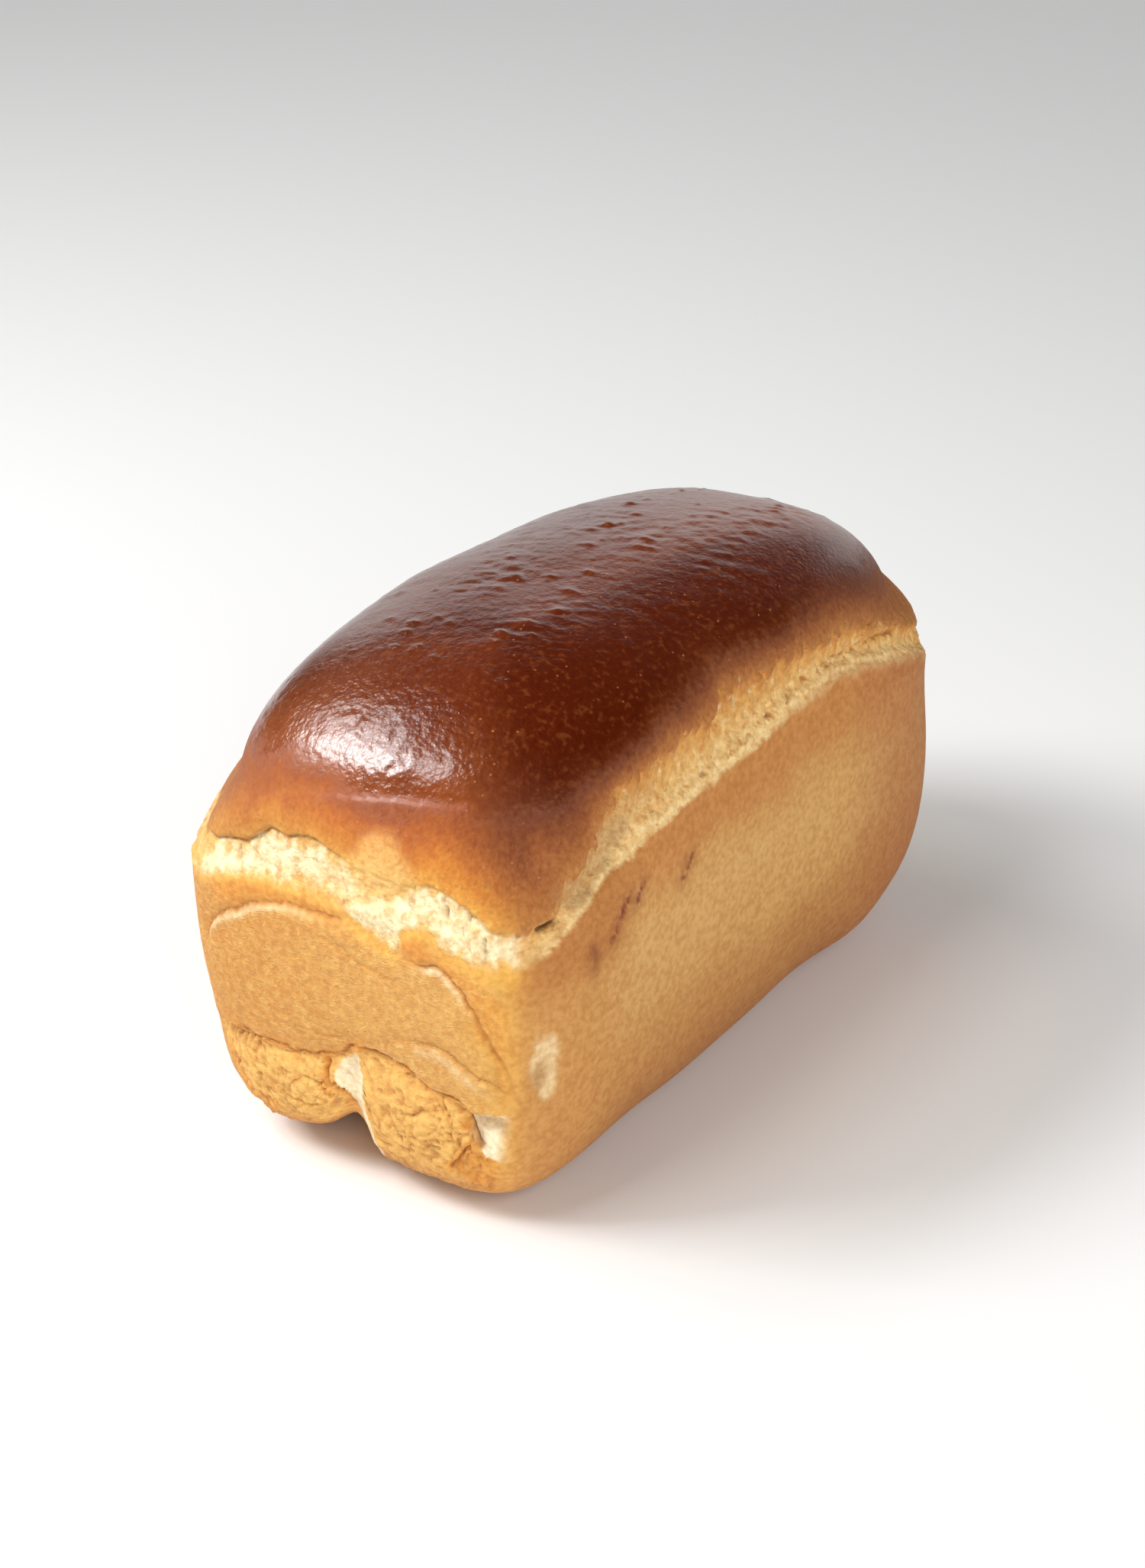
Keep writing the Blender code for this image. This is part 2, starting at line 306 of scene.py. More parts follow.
# How open the ends' step and crack are at the left, in the middle and at the right, and the
# places across an end between which that is blended.
STEP_OPEN = (0.7, 0.12, 0.45)
CRACK_OPEN = (0.8, 0.03, 0.55)
OPEN_PLACES = (-60, -1, 5, 21, 30, 38, 60)
# The hidden corner beside the near end tore less: from where, over how far and how much less.
CALM_X = -48
CALM_REACH = 24
CALM_ACROSS = 16
CALM_SHARE = 0.85


def end_share(normal):
    """How far a point belongs to an end of the loaf, from 0 on a long side to 1 on an end."""
    flat = normal[:, 0] ** 2 + normal[:, 1] ** 2 + 1e-9
    return normal[:, 0] ** 2 / flat


def heights(along, line):
    return np.interp(along, [a for a, _ in line], [b for _, b in line])


def wall_places(point):
    """Places along a long side and across an end, with those of the hidden walls mirrored."""
    x, y, _ = point.T
    return np.where(y < 0, x, MIRRORED * x), np.where(x < 0, y, MIRRORED * y)


def tear_lines(point, end):
    """Heights of the wall's top and of the dome crust's lower edge at each point."""
    along, across = wall_places(point)
    low = heights(along, SIDE_RIM) * (1 - end) + heights(across, END_RIM) * end
    high = heights(along, SIDE_EDGE) * (1 - end) + heights(across, END_EDGE) * end
    return low, high


def shreds(point, size, seed):
    """Noise drawn out along the way the dough pulled apart: upwards, and a little to +X."""
    x, y, z = point.T
    lean = np.stack([x - SHRED_LEAN * z, y, z], 1)
    return grain(lean, (size, size, SHRED_STRETCH * size), seed)


def ragged_lines(point, end):
    """The tear's two lines as the dough really parted: uneven, with teeth and tongues."""
    low, high = tear_lines(point, end)
    flat = point * (1, 1, 0.2)
    broad, fine = RIM_WANDER
    low = low + broad * grain(flat, 8, 1) + fine * grain(flat, 2.2, 2)
    broad, pulled, fine = SIDE_WANDER
    tongues = (1 - np.abs(shreds(point, 3.4, 3))) ** 3 - TONGUE_LEVEL
    side = broad * grain(flat, 12, 5) + pulled * tongues + fine * shreds(point, 1.4, 4)
    broad, fine = END_WANDER
    ends = broad * grain(flat, 6, 6) + fine * grain(flat, 2.0, 7)
    high = high + side * (1 - end) + ends * end
    return low, high


def openness(point, shares):
    """How far an end tore open at the left, in the middle and at the right, blended."""
    left, middle, right = shares
    levels = (left, left, middle, middle, right * 0.7, right, right)
    return np.interp(-wall_places(point)[1], OPEN_PLACES, levels)


def tear_relief(point, end, low, high):
    """The torn band: a hollow on the long sides, a step up to a dark crack on the ends."""
    z = point[:, 2]
    share = (z - low) / (high - low)
    inside = np.clip(share, 0, 1)
    hollow = np.sin(np.pi * inside) ** 0.7
    ledge = inside * np.clip(1 - (z - high) / CRACK_HEIGHT, 0, 1)
    fading = np.clip(1 - (z - high) / CORNER_TEAR_REACH, 0, 1)
    corner = 4 * end * (1 - end) * smooth(share * 2) * fading
    relief = -SIDE_TEAR_DEPTH * (1 - end) * hollow
    relief -= END_TEAR_DEPTH * openness(point, STEP_OPEN) * end * ledge
    relief -= CORNER_TEAR_DEPTH * corner * np.sin(np.pi * np.clip(inside, 0.1, 1) * 0.75)
    lip = hump((z - high - CRUST_LIP_HEIGHT) / CRUST_LIP_HEIGHT) * (z > high)
    x, y, _ = point.T
    calm = CALM_SHARE * smooth((CALM_X - x) / CALM_REACH) * smooth(y / CALM_ACROSS)
    calm = 1 - calm * smooth((1 - end) / 0.5)
    return (relief + CRUST_LIP * lip) * calm


# Short cracks that run down through the crumb of an end, as points (y, z).
FURROWS = (
    ((28.4, 87.2), (28.2, 84.5), (28.8, 81.8)),
    ((-31.2, 91.4), (-31.6, 87.5), (-32.6, 84.5)),
    ((-37.4, 88.5), (-37.0, 85), (-37.8, 81.5)),
    ((-42.6, 84.4), (-41.8, 80.6), (-42.2, 76)),
)
FURROW_DEPTH = 1.1
FURROW_WIDTH = 0.42
FLUTE_DEPTH = 0.6
SHRED_HEIGHT = 0.62
CRUMB_HEIGHT = 0.9
PALE_RIDGE = 0.9
PIT_DEPTH = 0.8
# The hole at the near corner: its middle (x, z), its half sizes and its height; painted shade fills
# it.
CAVITY = ((-83.2, 83.2), (3.3, 1.5), -3.0)
# The row of pores (x, z) along a side.
PORE_DEPTH = 1.3
PORE_WIDTH = 0.5
PORE_LINE = (
    (72, 92.2), (66, 94), (60, 95.4), (53, 96.3), (46, 97.4), (39, 98), (29, 98.4), (22, 98),
    (-4, 95.2), (-20, 94.3), (-35, 94.4),
)


def crack_strength(point, end):
    """How open the crack under the crust's edge is: it closes near the middle of an end."""
    return smooth((end - 0.25) / 0.3) * openness(point, CRACK_OPEN)


def pore_row(point, end):
    """The row of small pits above the rim of a long side: a broken crack in its far half."""
    along, _ = wall_places(point)
    flat = np.stack([along, point[:, 2]], 1) + 0.5 * sway(point, (2.5, 30), (2.2, 31))
    distance, _, share = along_line(flat, PORE_LINE)
    dashes = smooth((grain(point, 1.5, 33) + 0.55 - 1.1 * share) / 0.3)
    return hump(distance / PORE_WIDTH) * dashes * smooth((1 - share) / 0.2) * (1 - end)


def torn_crumb(point, end, low, high):
    """The torn crumb: shreds pulled upwards on the sides, lumps and furrows on the ends."""
    x, y, z = point.T
    share = (z - low) / (high - low)
    band = smooth(share / 0.12) * smooth((1.03 - share) / 0.08)
    pulled = 1 - np.abs(shreds(point, 1.9, 8)) + 0.5 * (1 - np.abs(shreds(point, 1.0, 9)))
    ridge = hump((share - 0.17 - 0.05 * grain(point, 14, 10)) / 0.1)
    pits = -smooth((grain(point, (1.7, 1.7, 1.4), 11) - 0.4) / 0.25)
    side = SHRED_HEIGHT * (pulled - 1.1) * smooth((share - 0.25) / 0.3)
    low_pits = PIT_DEPTH * pits * smooth((0.6 - share) / 0.2)
    side += PALE_RIDGE * ridge + low_pits - PORE_DEPTH * pore_row(point, end)
    lumps = 0.6 - np.abs(grain(point, (3.4, 3.4, 2.6), 12)) - 0.5 * np.abs(grain(point, 1.7, 13))
    crumbs = 0.8 * lumps + 0.25 * grain(point, 1.0, 14)
    _, across = wall_places(point)
    places = np.stack([across + 0.5 * grain(point, 2.2, 15), z], 1)
    furrows = np.zeros(len(point))
    for line in FURROWS:
        distance, _, run = along_line(places, line)
        furrows -= hump(distance / FURROW_WIDTH) * smooth(np.minimum(run + 0.1, 1 - run) / 0.35)
    drawn = smooth((-across - 18) / 8) * smooth((share - 0.15) / 0.4)
    swayed = point + (0, 1, 0) * grain(point, 5, 38)[:, None]
    flutes = -np.abs(grain(swayed, (5, 1.5, 11), 16)) * drawn
    ends = CRUMB_HEIGHT * crumbs + FLUTE_DEPTH * flutes + FURROW_DEPTH * furrows
    crack = hump((z - high) / CRACK_WIDTH) * crack_strength(point, end)
    relief = band * (side * (1 - end) + ends * end) - CRACK_DEPTH * crack
    near_side = (y < 0) & (end < 0.8)
    (at, level), (wide, tall), height = CAVITY
    hole = np.where(near_side, hump(((x - at) / wide) ** 2 + ((z - level) / tall) ** 2), 0)
    # Besides the relief: the painted shade of the crack and the furrows, and the hole's mask.
    return relief + height * hole, np.maximum(crack, -0.6 * furrows * band * end), hole


# The creases of the folded dough on an end: points (y, z) along each one, then its depth and the
# widths of its slopes left and right of the line as it runs.
CREASES = {
    "top of the flap": (
        ((40.5, 55), (40.2, 58), (39, 62), (36.5, 65.5), (33.7, 67.8), (29.3, 70), (25.9, 72.3),
         (18.6, 75.3), (11.7, 76.6), (4.1, 76.8), (-1.9, 77.4), (-5.6, 79.2)), 1.1, 0.6, 2.8
    ),
    "foot of the flap, left": (
        ((34.5, 35.4), (30, 36), (25.5, 35.6), (16.5, 36.2), (8.8, 36.8), (2.5, 38.8), (-2.1, 42.3),
         (-6.7, 45.4)), 1.5, 0.9, 2.0
    ),
    "foot of the flap, right": (
        ((-4.5, 42.8), (-7.5, 43.7), (-11, 43.7), (-16.2, 43), (-21.2, 40.8), (-26.9, 38.6),
         (-33, 37.6), (-35.8, 35.4)), 1.9, 1.4, 1.0
    ),
    "edge of the side fold": (
        ((-20.8, 72.8), (-24, 71.6), (-29.1, 73), (-32.6, 70.9), (-35.8, 67.6), (-38.2, 64),
         (-40.3, 59.2), (-42.8, 54), (-44.8, 48), (-46.4, 41.3), (-46.9, 38.5)), 1.1, 1.0, 2.6
    ),
    "inner layer": (
        ((-19, 50.5), (-24.8, 51.3), (-29.2, 51.4), (-31.9, 50.2), (-34.6, 48.8), (-37.6, 46.3),
         (-41.5, 44), (-44.8, 41.8), (-46.5, 39)), 0.9, 0.5, 2.4
    ),
    "left lobe": (((38.5, 26), (35, 20.5), (30.5, 17), (24, 15.5)), 0.8, 1.0, 1.6),
    "slit in the right lobe": (((-34.4, 24.1), (-31.1, 19.9), (-27.8, 15.3)), 1.5, 0.5, 1.0),
    "ply in the flap": (
        ((3, 71), (-2.7, 69.6), (-8.3, 67.4), (-15.6, 66.2), (-20, 66.5)), 0.4, 0.4, 1.6
    ),
    "ear of the left lobe": (
        ((16.3, 26.1), (13.2, 28.5), (9.7, 29), (7.5, 27.6), (6.7, 24.7), (8, 21.6)), 0.7, 0.6, 1.4
    ),
    "lower fold of the ear": (
        ((15.4, 20.7), (13.1, 20.3), (10.7, 19.4), (8.6, 19.1)), 0.5, 0.5, 1.0
    ),
    "rim of the left lobe": (
        ((3.8, 37), (5.5, 32.8), (4.6, 29.4), (2.4, 27.3), (0.6, 24.7), (1.4, 21.7)), 0.9, 0.6, 1.0
    ),
    "twist of the right lobe": (
        ((-17.9, 26.9), (-20.4, 30), (-24.2, 32), (-26.9, 30.6), (-25.5, 26.5), (-21.4, 24.1)),
        0.45, 0.7, 0.9
    ),
    "inner fold of the right lobe": (((-28.6, 35.2), (-29.7, 31.2), (-31.3, 27.3)), 0.5, 0.6, 1.2),
    "outer fold of the right lobe": (((-32.8, 37.2), (-34, 33.3), (-35.6, 29.7)), 0.5, 0.6, 1.2),
    "pull above the left lobe": (
        ((-4.6, 44.9), (0.6, 44.6), (8.2, 44.1), (16.4, 43.7)), 0.25, 0.4, 0.8
    ),
    "second pull": (((-5.2, 45.8), (-1.5, 46.5), (4.2, 47), (11, 47.8)), 0.3, 0.5, 1.2),
    "pull above the right lobe": (
        ((-8, 46), (-12.9, 48), (-17.6, 49.6), (-22.2, 51.1)), 0.3, 0.5, 1.0
    ),
    "groove beside the pocket": (
        ((-35.0, 35.5), (-35.8, 31.5), (-36.8, 27.5), (-38, 23.5)), 2.4, 0.8, 0.9
    ),
}
# A crease is shallow at its tips, and has a fine groove at its bottom, darkened with painted shade.
CREASE_FADE = 0.12
CREASE_TIP = 0.3
CREASE_LINE = 0.22
CREASE_LINE_WIDTH = 0.4
CREASE_SHADE_WIDTH = 0.42
CREASE_FULL_SHADE = 1.2
# Closed outlines (y, z) on an end: what was pressed open or torn there, then how far it stands
# out or lies back and over how wide a slope.
CHANNEL = (
    ((-4, 42), (-2.2, 40.4), (1.3, 36.2), (3, 32.4), (2.6, 29), (0.9, 26.5), (-0.4, 24),
     (-0.8, 20), (-0.6, 8), (-6, 8), (-5.8, 22), (-5.3, 27), (-5, 31), (-5.4, 35), (-4.9, 39)),
    -1.9, 2.6
)
POCKET = (
    ((-35.2, 35), (-38.7, 36), (-42.4, 35.8), (-47.4, 35), (-49.4, 30.5), (-48.6, 26),
     (-45.4, 21.4), (-39.6, 20.8), (-37.4, 24.6), (-36, 29.9)), -1.7, 2.2
)
PLUG = (
    ((-38.8, 27), (-42.2, 28), (-45.4, 26.2), (-45.6, 22.6), (-42, 20.8), (-38.6, 21.6),
     (-38, 24)), 2.0, 2.6
)
TAB = (
    ((-20.3, 78.8), (-19.7, 76), (-20.8, 73.4), (-23.3, 72), (-27, 72.6), (-29.3, 74.2),
     (-28.2, 77.6), (-27.6, 81.6), (-24, 81.2)), 0.6, 2.6
)
TONGUE = (
    ((-4.7, 93), (-7.8, 97.4), (-10.2, 101), (-13.4, 102.8), (-16.8, 102.5), (-18.5, 100.7),
     (-21, 97.8), (-23.1, 95.9), (-24, 92), (-21, 89), (-14, 89), (-8, 90)), 0.2, 5.0
)
# Broad swellings and a dent: the middle, the half sizes and the height.
OVALS = (
    ("gap beside the flap", (-12, 77), (7, 3.5), -1.0),
    ("left lobe", (20, 24), (18, 12), 1.2),
    ("right lobe", (-18, 26), (15, 14), 1.4),
    ("flap", (4, 57), (32, 16), 1.3),
)
LOBES_SET_BACK = 1.0
LOBES_TOP = (
    (-40, 35), (-30, 36), (-25, 35.6), (-16, 36.2), (-9, 36.8), (-2, 39), (2, 42), (7, 43.6),
    (11, 43.7), (16, 43), (21, 40.8), (27, 38.6), (34, 37), (40, 35),
)
LOBES_TOP_SLOPE = 1.6
# The gap between the two lobes, which lifts the underside, and how the far end's folds differ.
NOTCH_AT = -3.5
NOTCH_HEIGHT = 17.0
NOTCH_REACH = 34.0
NOTCH_SLANT = 0.7
NOTCH_LEFT = 7.5
NOTCH_RIGHT = 3.2
NOTCH_FADES_AT = 46.0
FAR_SCALE_Y = -0.93
FAR_SCALE_Z = 0.96
FAR_SHIFT_Z = 2.5
FAR_RELIEF = 0.85
FAR_NOTCH = 0.7


def rounded(line, steps=5):
    """More points along a line, on a smooth curve through the given ones."""
    line = np.array(line, float)
    if len(line) < 3:
        return line
    ends = np.concatenate([2 * line[:1] - line[1:2], line, 2 * line[-1:] - line[-2:-1]])
    out = []
    for a, b, c, d in zip(ends[:-3], ends[1:-2], ends[2:-1], ends[3:]):
        for t in np.linspace(0, 1, steps, endpoint=False):
            bend = 2 * a - 5 * b + 4 * c - d + t * (3 * (b - c) + d - a)
            out.append(b + 0.5 * t * (c - a + t * bend))
    return np.array([*out, line[-1]])


def along_line(places, line, steps=5):
    """Distance, side (+1 right, -1 left) and share run of each place along a line."""
    line = rounded(line, steps)
    lengths = np.linalg.norm(np.diff(line, axis=0), axis=1)
    run = np.concatenate([[0], np.cumsum(lengths)]) / lengths.sum()
    best = np.full(len(places), np.inf)
    side = np.ones(len(places))
    share = np.zeros(len(places))
    for a, b, start, stop in zip(line[:-1], line[1:], run[:-1], run[1:]):
        step = b - a
        t = np.clip((places - a) @ step / (step @ step), 0, 1)
        gap = places - a - t[:, None] * step
        distance = np.linalg.norm(gap, axis=1)
        closer = distance < best
        best[closer] = distance[closer]
        side[closer] = np.where(gap[:, 1] * step[0] - gap[:, 0] * step[1] > 0, -1, 1)[closer]
        share[closer] = (start + (stop - start) * t)[closer]
    return best, side, share


def tips(share, reach):
    """The strength of a line along its run, which fades over a share of it at both tips."""
    return smooth(np.minimum(share, 1 - share) / reach)


def oval(places, middle, half):
    """A soft oval, 1 at its middle and nothing outside it."""
    across, height = ((places - middle) / half).T
    return hump(across**2 + height**2)


def within(places, outline):
    """How deep inside a closed outline each place lies; below zero outside it."""
    line = rounded([*outline, outline[0]], 3)
    depth = along_line(places, line, 1)[0]
    inside = np.zeros(len(places), bool)
    across, height = places.T
    for (y0, z0), (y1, z1) in zip(line[:-1], line[1:]):
        if z0 != z1:
            passes = (z0 > height) != (z1 > height)
            inside ^= passes & (across < (y1 - y0) * (height - z0) / (z1 - z0) + y0)
    return np.where(inside, depth, -depth)


def far_places(places):
    """Places on the far end, moved to where the same folds lie on the near end."""
    moved = places.copy()
    moved[:, 0] = places[:, 0] / FAR_SCALE_Y
    moved[:, 1] = (places[:, 1] - FAR_SHIFT_Z) / FAR_SCALE_Z
    return moved


def lobe_share(places):
    """1 on the lobes below the flap of an end, 0 above its foot."""
    return smooth((heights(-places[:, 0], LOBES_TOP) - places[:, 1]) / LOBES_TOP_SLOPE)


def end_relief(places, jitter):
    """The folds of the dough on an end, at places (y, z), and the painted shade in its creases."""
    relief = np.zeros(len(places))
    shade = np.zeros(len(places))
    moved = places + jitter
    for line, depth, left, right in CREASES.values():
        distance, side, share = along_line(moved, line)
        width = np.where(side > 0, right, left)
        fade = tips(share, CREASE_FADE)
        strength = depth * (CREASE_TIP + (1 - CREASE_TIP) * fade)
        relief -= strength * np.exp(-distance / width)
        relief -= CREASE_LINE * strength * fade * hump(distance / CREASE_LINE_WIDTH)
        dark = min(depth / CREASE_FULL_SHADE, 1.0)
        shade = np.maximum(shade, fade * dark * hump(distance / CREASE_SHADE_WIDTH))
    for _, middle, half, height in OVALS:
        relief += height * oval(places, middle, half)
    for outline, height, slope in (CHANNEL, POCKET, PLUG, TAB):
        relief += height * smooth(within(moved, outline) / slope + 0.15)
    relief -= LOBES_SET_BACK * lobe_share(places) * smooth((places[:, 1] - 8) / 10)
    return relief, shade


# The dough of the two lobes was twisted shut, so its creases run round these points.
SWIRLS = ((12, 25), (-22.5, 28))
SWIRLS_PART_AT = -3
RING_SPACING = 2.9
RING_DEPTH = 0.3
RAY_DEPTH = 0.45
NET_DEPTH = 0.5
LOBE_LUMPS = 0.25
TEETH_DEPTH = 0.9
TEETH_SPACING = 2.3
FLAP_GRAIN = 0.12
FLAP_PULLS = 0.3


def lobe_wrinkles(point, places, lobes):
    """The fine creasing of the dough on the two lobes and the faint grain of the flap."""
    middle = np.where((places[:, 0] > SWIRLS_PART_AT)[:, None], *SWIRLS)
    arm = places - middle
    reach = np.hypot(arm[:, 0], arm[:, 1] * 1.15)
    turn = np.arctan2(arm[:, 1], arm[:, 0])
    warp = 1.3 * grain(point, 6, 17) + 0.6 * grain(point, 2.5, 18)
    rings = np.cos((reach / RING_SPACING + 0.3 * turn + 0.6 * warp) * 2 * np.pi)
    around = np.stack([turn * (2 + reach / 3), reach / 5, 0.4 * warp], 1)
    rays = 1 - np.abs(grain(around, 1.0, 19))
    patchy = smooth(grain(point, 6, 20) + 0.8)
    wrinkles = RING_DEPTH * patchy * (rings - 1) - RAY_DEPTH * smooth(reach / 8) * rays**3
    wrinkles -= NET_DEPTH * (1 - np.abs(grain(point, (3, 3.4, 2.6), 21))) ** 4
    wrinkles += LOBE_LUMPS * grain(point, 1.5, 46)
    teeth = smooth((places[:, 0] - 22) / 4) * smooth((places[:, 1] - 29) / 3)
    slanted = (places[:, 0] + 0.55 * places[:, 1]) / TEETH_SPACING + 0.3 * grain(point, 3, 39)
    wrinkles -= TEETH_DEPTH * teeth * np.abs(np.sin(np.pi * slanted)) ** 3
    low_flap = smooth((places[:, 1] - 36) / 4) * smooth((56 - places[:, 1]) / 14)
    pulls = (1 - np.abs(grain(point, (4, 7, 1.3), 22))) ** 3 * low_flap
    flap = FLAP_GRAIN * grain(point, (2, 1.7, 0.9), 23) - FLAP_PULLS * pulls
    return lobes * wrinkles + (1 - lobes) * flap


def notch_lift(point):
    """How far the gap between an end's two lobes lifts the underside."""
    x, y, z = point.T
    far = x > 0
    inward = HALF_LENGTH - np.abs(x)
    across = np.where(far, y / FAR_SCALE_Y, y) - NOTCH_AT - NOTCH_SLANT * inward
    width = np.where(across > 0, NOTCH_LEFT, NOTCH_RIGHT)
    wedge = np.clip(1 - inward / NOTCH_REACH, 0, 1.05)
    height = NOTCH_HEIGHT * np.where(far, FAR_NOTCH, 1.0)
    return height * wedge * hump(across / width) * np.clip(1 - z / NOTCH_FADES_AT, 0, 1)


# The skin lies a hair lower than it would, and the crown lower still, so that the finest bumps
# stay within the loaf's own size.
HAIR = 0.07
CROWN_ALLOWANCE = 0.8
CROWN_FROM = 116
CROWN_BY = 9

# The dome's skin: small blisters along the ridge, soft wrinkles that run across it, a dimpled
# shoulder at the near end, and one raised fold below that.
BLISTERS = 70
BLISTER_SEED = 11
BLISTER_ALONG = (-62, 86)
BLISTER_ACROSS = (2, 15)
BLISTER_RADIUS = (0.55, 1.35)
BLISTER_RISE = (0.25, 0.5)
BLISTER_LENGTH = (0.55, 1.0)
WRINKLE_HEIGHT = 0.15
DIMPLE_HEIGHT = 0.07
SKIN_GRAIN = 0.05
FOLD_LINE = (
    (12, 104.5), (4, 105.8), (-6, 107.6), (-16, 109.2), (-24, 109.5), (-30, 109), (-31.5, 110.5),
    (-30, 112.4),
)
FOLD_HEIGHT = 0.3
FOLD_WIDTH = 1.2
SHELF_DEPTH = 0.6
SHELF_REACH = 4.0
SEAM_LINE = ((27, 100.5), (22, 102.6), (16, 103.8), (12, 104.5))
SEAM_DEPTH = 0.4
SEAM_WIDTH = 1.5
# Popped blisters in the highlight: the middle, the radius and the depth of each.
CRATERS = (
    ((-82, 3, 118), 1.3, 0.5), ((-86.5, -14.5, 116.5), 1.6, 0.6),
    ((-88, -12.5, 114.5), 1.4, 0.6), ((-90.5, -5, 112), 1.2, 0.4), ((-79, -22, 119.5), 1.2, 0.4),
)


def dome_skin(point, normal, above):
    """Relief of the dome's skin where it lies above the tear, and where its blisters are."""
    x, y, z = point.T
    crown = smooth((normal[:, 2] - 0.72) / 0.22) * above
    slanted = np.stack([x + 0.3 * y, y, z], 1)
    folds = grain(slanted, (3.2, 5.5, 30), 24) + 0.6 * grain(slanted, (1.7, 2.8, 20), 25)
    patches = smooth(grain(point, (24, 16, 60), 26) + 0.55)
    back = smooth((x + 62) / 30)
    relief = WRINKLE_HEIGHT * crown * (0.25 + 0.75 * patches * back) * folds
    front = smooth((-x - 48) / 22) * smooth((normal[:, 2] - 0.3) / 0.3) * above
    relief += DIMPLE_HEIGHT * front * (0.9 * grain(point, 4.0, 27) + 0.5 * grain(point, 1.6, 28))
    relief += SKIN_GRAIN * above * grain(point, 1.7, 29)
    for middle, radius, depth in CRATERS:
        gap = np.linalg.norm((point - middle) * (1, 1, 0.6), axis=1) / radius
        relief += depth * (hump(gap / 1.8) * 0.7 - hump(gap)) * above
    dice = np.random.default_rng(BLISTER_SEED)
    spots = np.zeros(len(point))
    for _ in range(BLISTERS):
        middle = np.array((dice.uniform(*BLISTER_ALONG), dice.normal(*BLISTER_ACROSS)))
        radius = dice.uniform(*BLISTER_RADIUS)
        height = dice.uniform(*BLISTER_RISE) * radius
        long = dice.uniform(*BLISTER_LENGTH)
        gap = point[:, :2] - middle
        near = (np.abs(gap).max(1) < 5 * radius) & (z > 90)
        rise = hump(np.hypot(gap[near, 0], gap[near, 1] * long) / radius) * above[near]
        relief[near] += height * rise
        spots[near] = np.maximum(spots[near], rise)
    return relief, spots


def raised_fold(point, normal):
    """The thin raised fold that curls across the near end of the dome."""
    near = smooth((-normal[:, 0] - 0.15) / 0.2) * (point[:, 0] < 0)
    distance, side, share = along_line(point[:, 1:], FOLD_LINE)
    fold = hump(distance / FOLD_WIDTH) * tips(share, 0.25)
    shelf = np.exp(-distance / SHELF_REACH) * (side > 0) * tips(share, 0.2)
    seam, _, part = along_line(point[:, 1:], SEAM_LINE)
    dent = hump(seam / SEAM_WIDTH) * tips(part, 0.3)
    return near * (FOLD_HEIGHT * fold - SEAM_DEPTH * dent - SHELF_DEPTH * shelf), near * fold


# Colour follows the relief. Outlines (y, z) on an end that are pale crumb, smooth pale dough, or
# browned to orange, with how strong and how softly edged each is.
PALE_CRUMB = (
    (((-5, 79.5), (-6.5, 77.6), (-9.2, 76.4), (-13.5, 75.6), (-16.3, 74.6), (-18.6, 72.4),
      (-20.4, 71.6), (-19.4, 75.5), (-20.2, 79), (-23.5, 82.3), (-27, 84), (-25, 88), (-19, 87.5),
      (-13, 84.5), (-7, 83), (-3, 82)), 1.0, 4.4),
    (((-20, 88.5), (-24, 91), (-29.2, 92.6), (-33.7, 90.5), (-38, 88.3), (-41.3, 86), (-44.7, 83.5),
      (-55, 84), (-55, 75.5), (-44.8, 75.4), (-40.8, 76.6), (-36.1, 78.4), (-30.8, 79.9), (-28, 84),
      (-23, 84)), 0.95, 2.8),
    (((46, 72.5), (41.5, 79.5), (36, 84.8), (31, 86.4), (26, 87.6), (22, 90), (18, 92.6),
      (12, 92.6), (6, 93.6), (1, 92.4), (1, 88.6), (7, 85.4), (14, 83), (20, 81.2), (27, 79.6),
      (33, 78), (38, 74.4)), 0.95, 4.0),
    (((2, 91.4), (-4, 91.2), (-7, 88.5), (-8, 84), (-2, 83.4), (5, 84.6), (9, 86.4), (6, 89)),
     0.6, 4.0),
)
ORANGE_DOUGH = (
    (TAB[0], 0.9, 3.0),
    (((-28.5, 74.6), (-32.2, 72.4), (-35.6, 69), (-38, 65.4), (-40.2, 60.4), (-42.8, 55.2),
      (-45, 49), (-46.9, 42), (-50, 44), (-49.4, 54), (-47.4, 62), (-43.8, 68), (-39.6, 72.6),
      (-33.5, 76), (-30, 77.4)), 0.95, 2.4),
    (((37, 74.5), (32, 78.4), (24, 80), (15, 80.4), (6, 80), (0, 79), (-2, 78), (4, 77),
      (12, 76.8), (19, 75.6), (26, 72.6), (31.5, 70), (35, 68.6)), 0.8, 2.2),
    (((4, 37), (4.4, 33), (4.8, 29), (3.6, 25), (6.6, 24), (7.4, 30), (6.4, 36)), 0.8, 1.5),
    (((-28, 16), (-31, 21), (-34.4, 27), (-33, 32), (-36, 33), (-38, 25), (-40.5, 20.5), (-45, 21),
      (-45, 12), (-36, 10)), 0.85, 2.0),
    (((40, 30), (37, 24), (32, 19), (26, 16.5), (26, 12), (36, 13), (42, 24)), 0.5, 2.0),
)
# Creases with a pale edge, partly pale dough and partly painted light on a rounded lip: its side,
# distance and width, how strong it is and where it ends.
PALE_AND_LIT_EDGES = {
    "edge of the side fold": (-1, 1.0, 0.9, 0.75, 0.62),
    "top of the flap": (-1, 1.2, 1.0, 0.6, 1.0),
    "inner layer": (-1, 2.2, 1.8, 0.45, 1.0),
    "foot of the flap, right": (1, 0.9, 0.7, 0.4, 1.0),
}
# Creases that browned to orange, and how strongly and widely.
CREVICES = (
    "rim of the left lobe", "edge of the side fold", "foot of the flap, left",
    "foot of the flap, right", "slit in the right lobe", "left lobe",
)
CREVICE_ORANGE = 0.8
CREVICE_WIDTH = 1.3
# Painted shade, greyer, in the pocket and the channel: the middle, the half sizes and how strong.
SHADED_GREY_DOUGH = (
    ((-40.5, 32.4), (5.0, 3.0), 1.0), ((-37, 28.5), (1.8, 4.4), 1.0), ((-2.5, 38), (1.6, 2.5), 0.3),
)
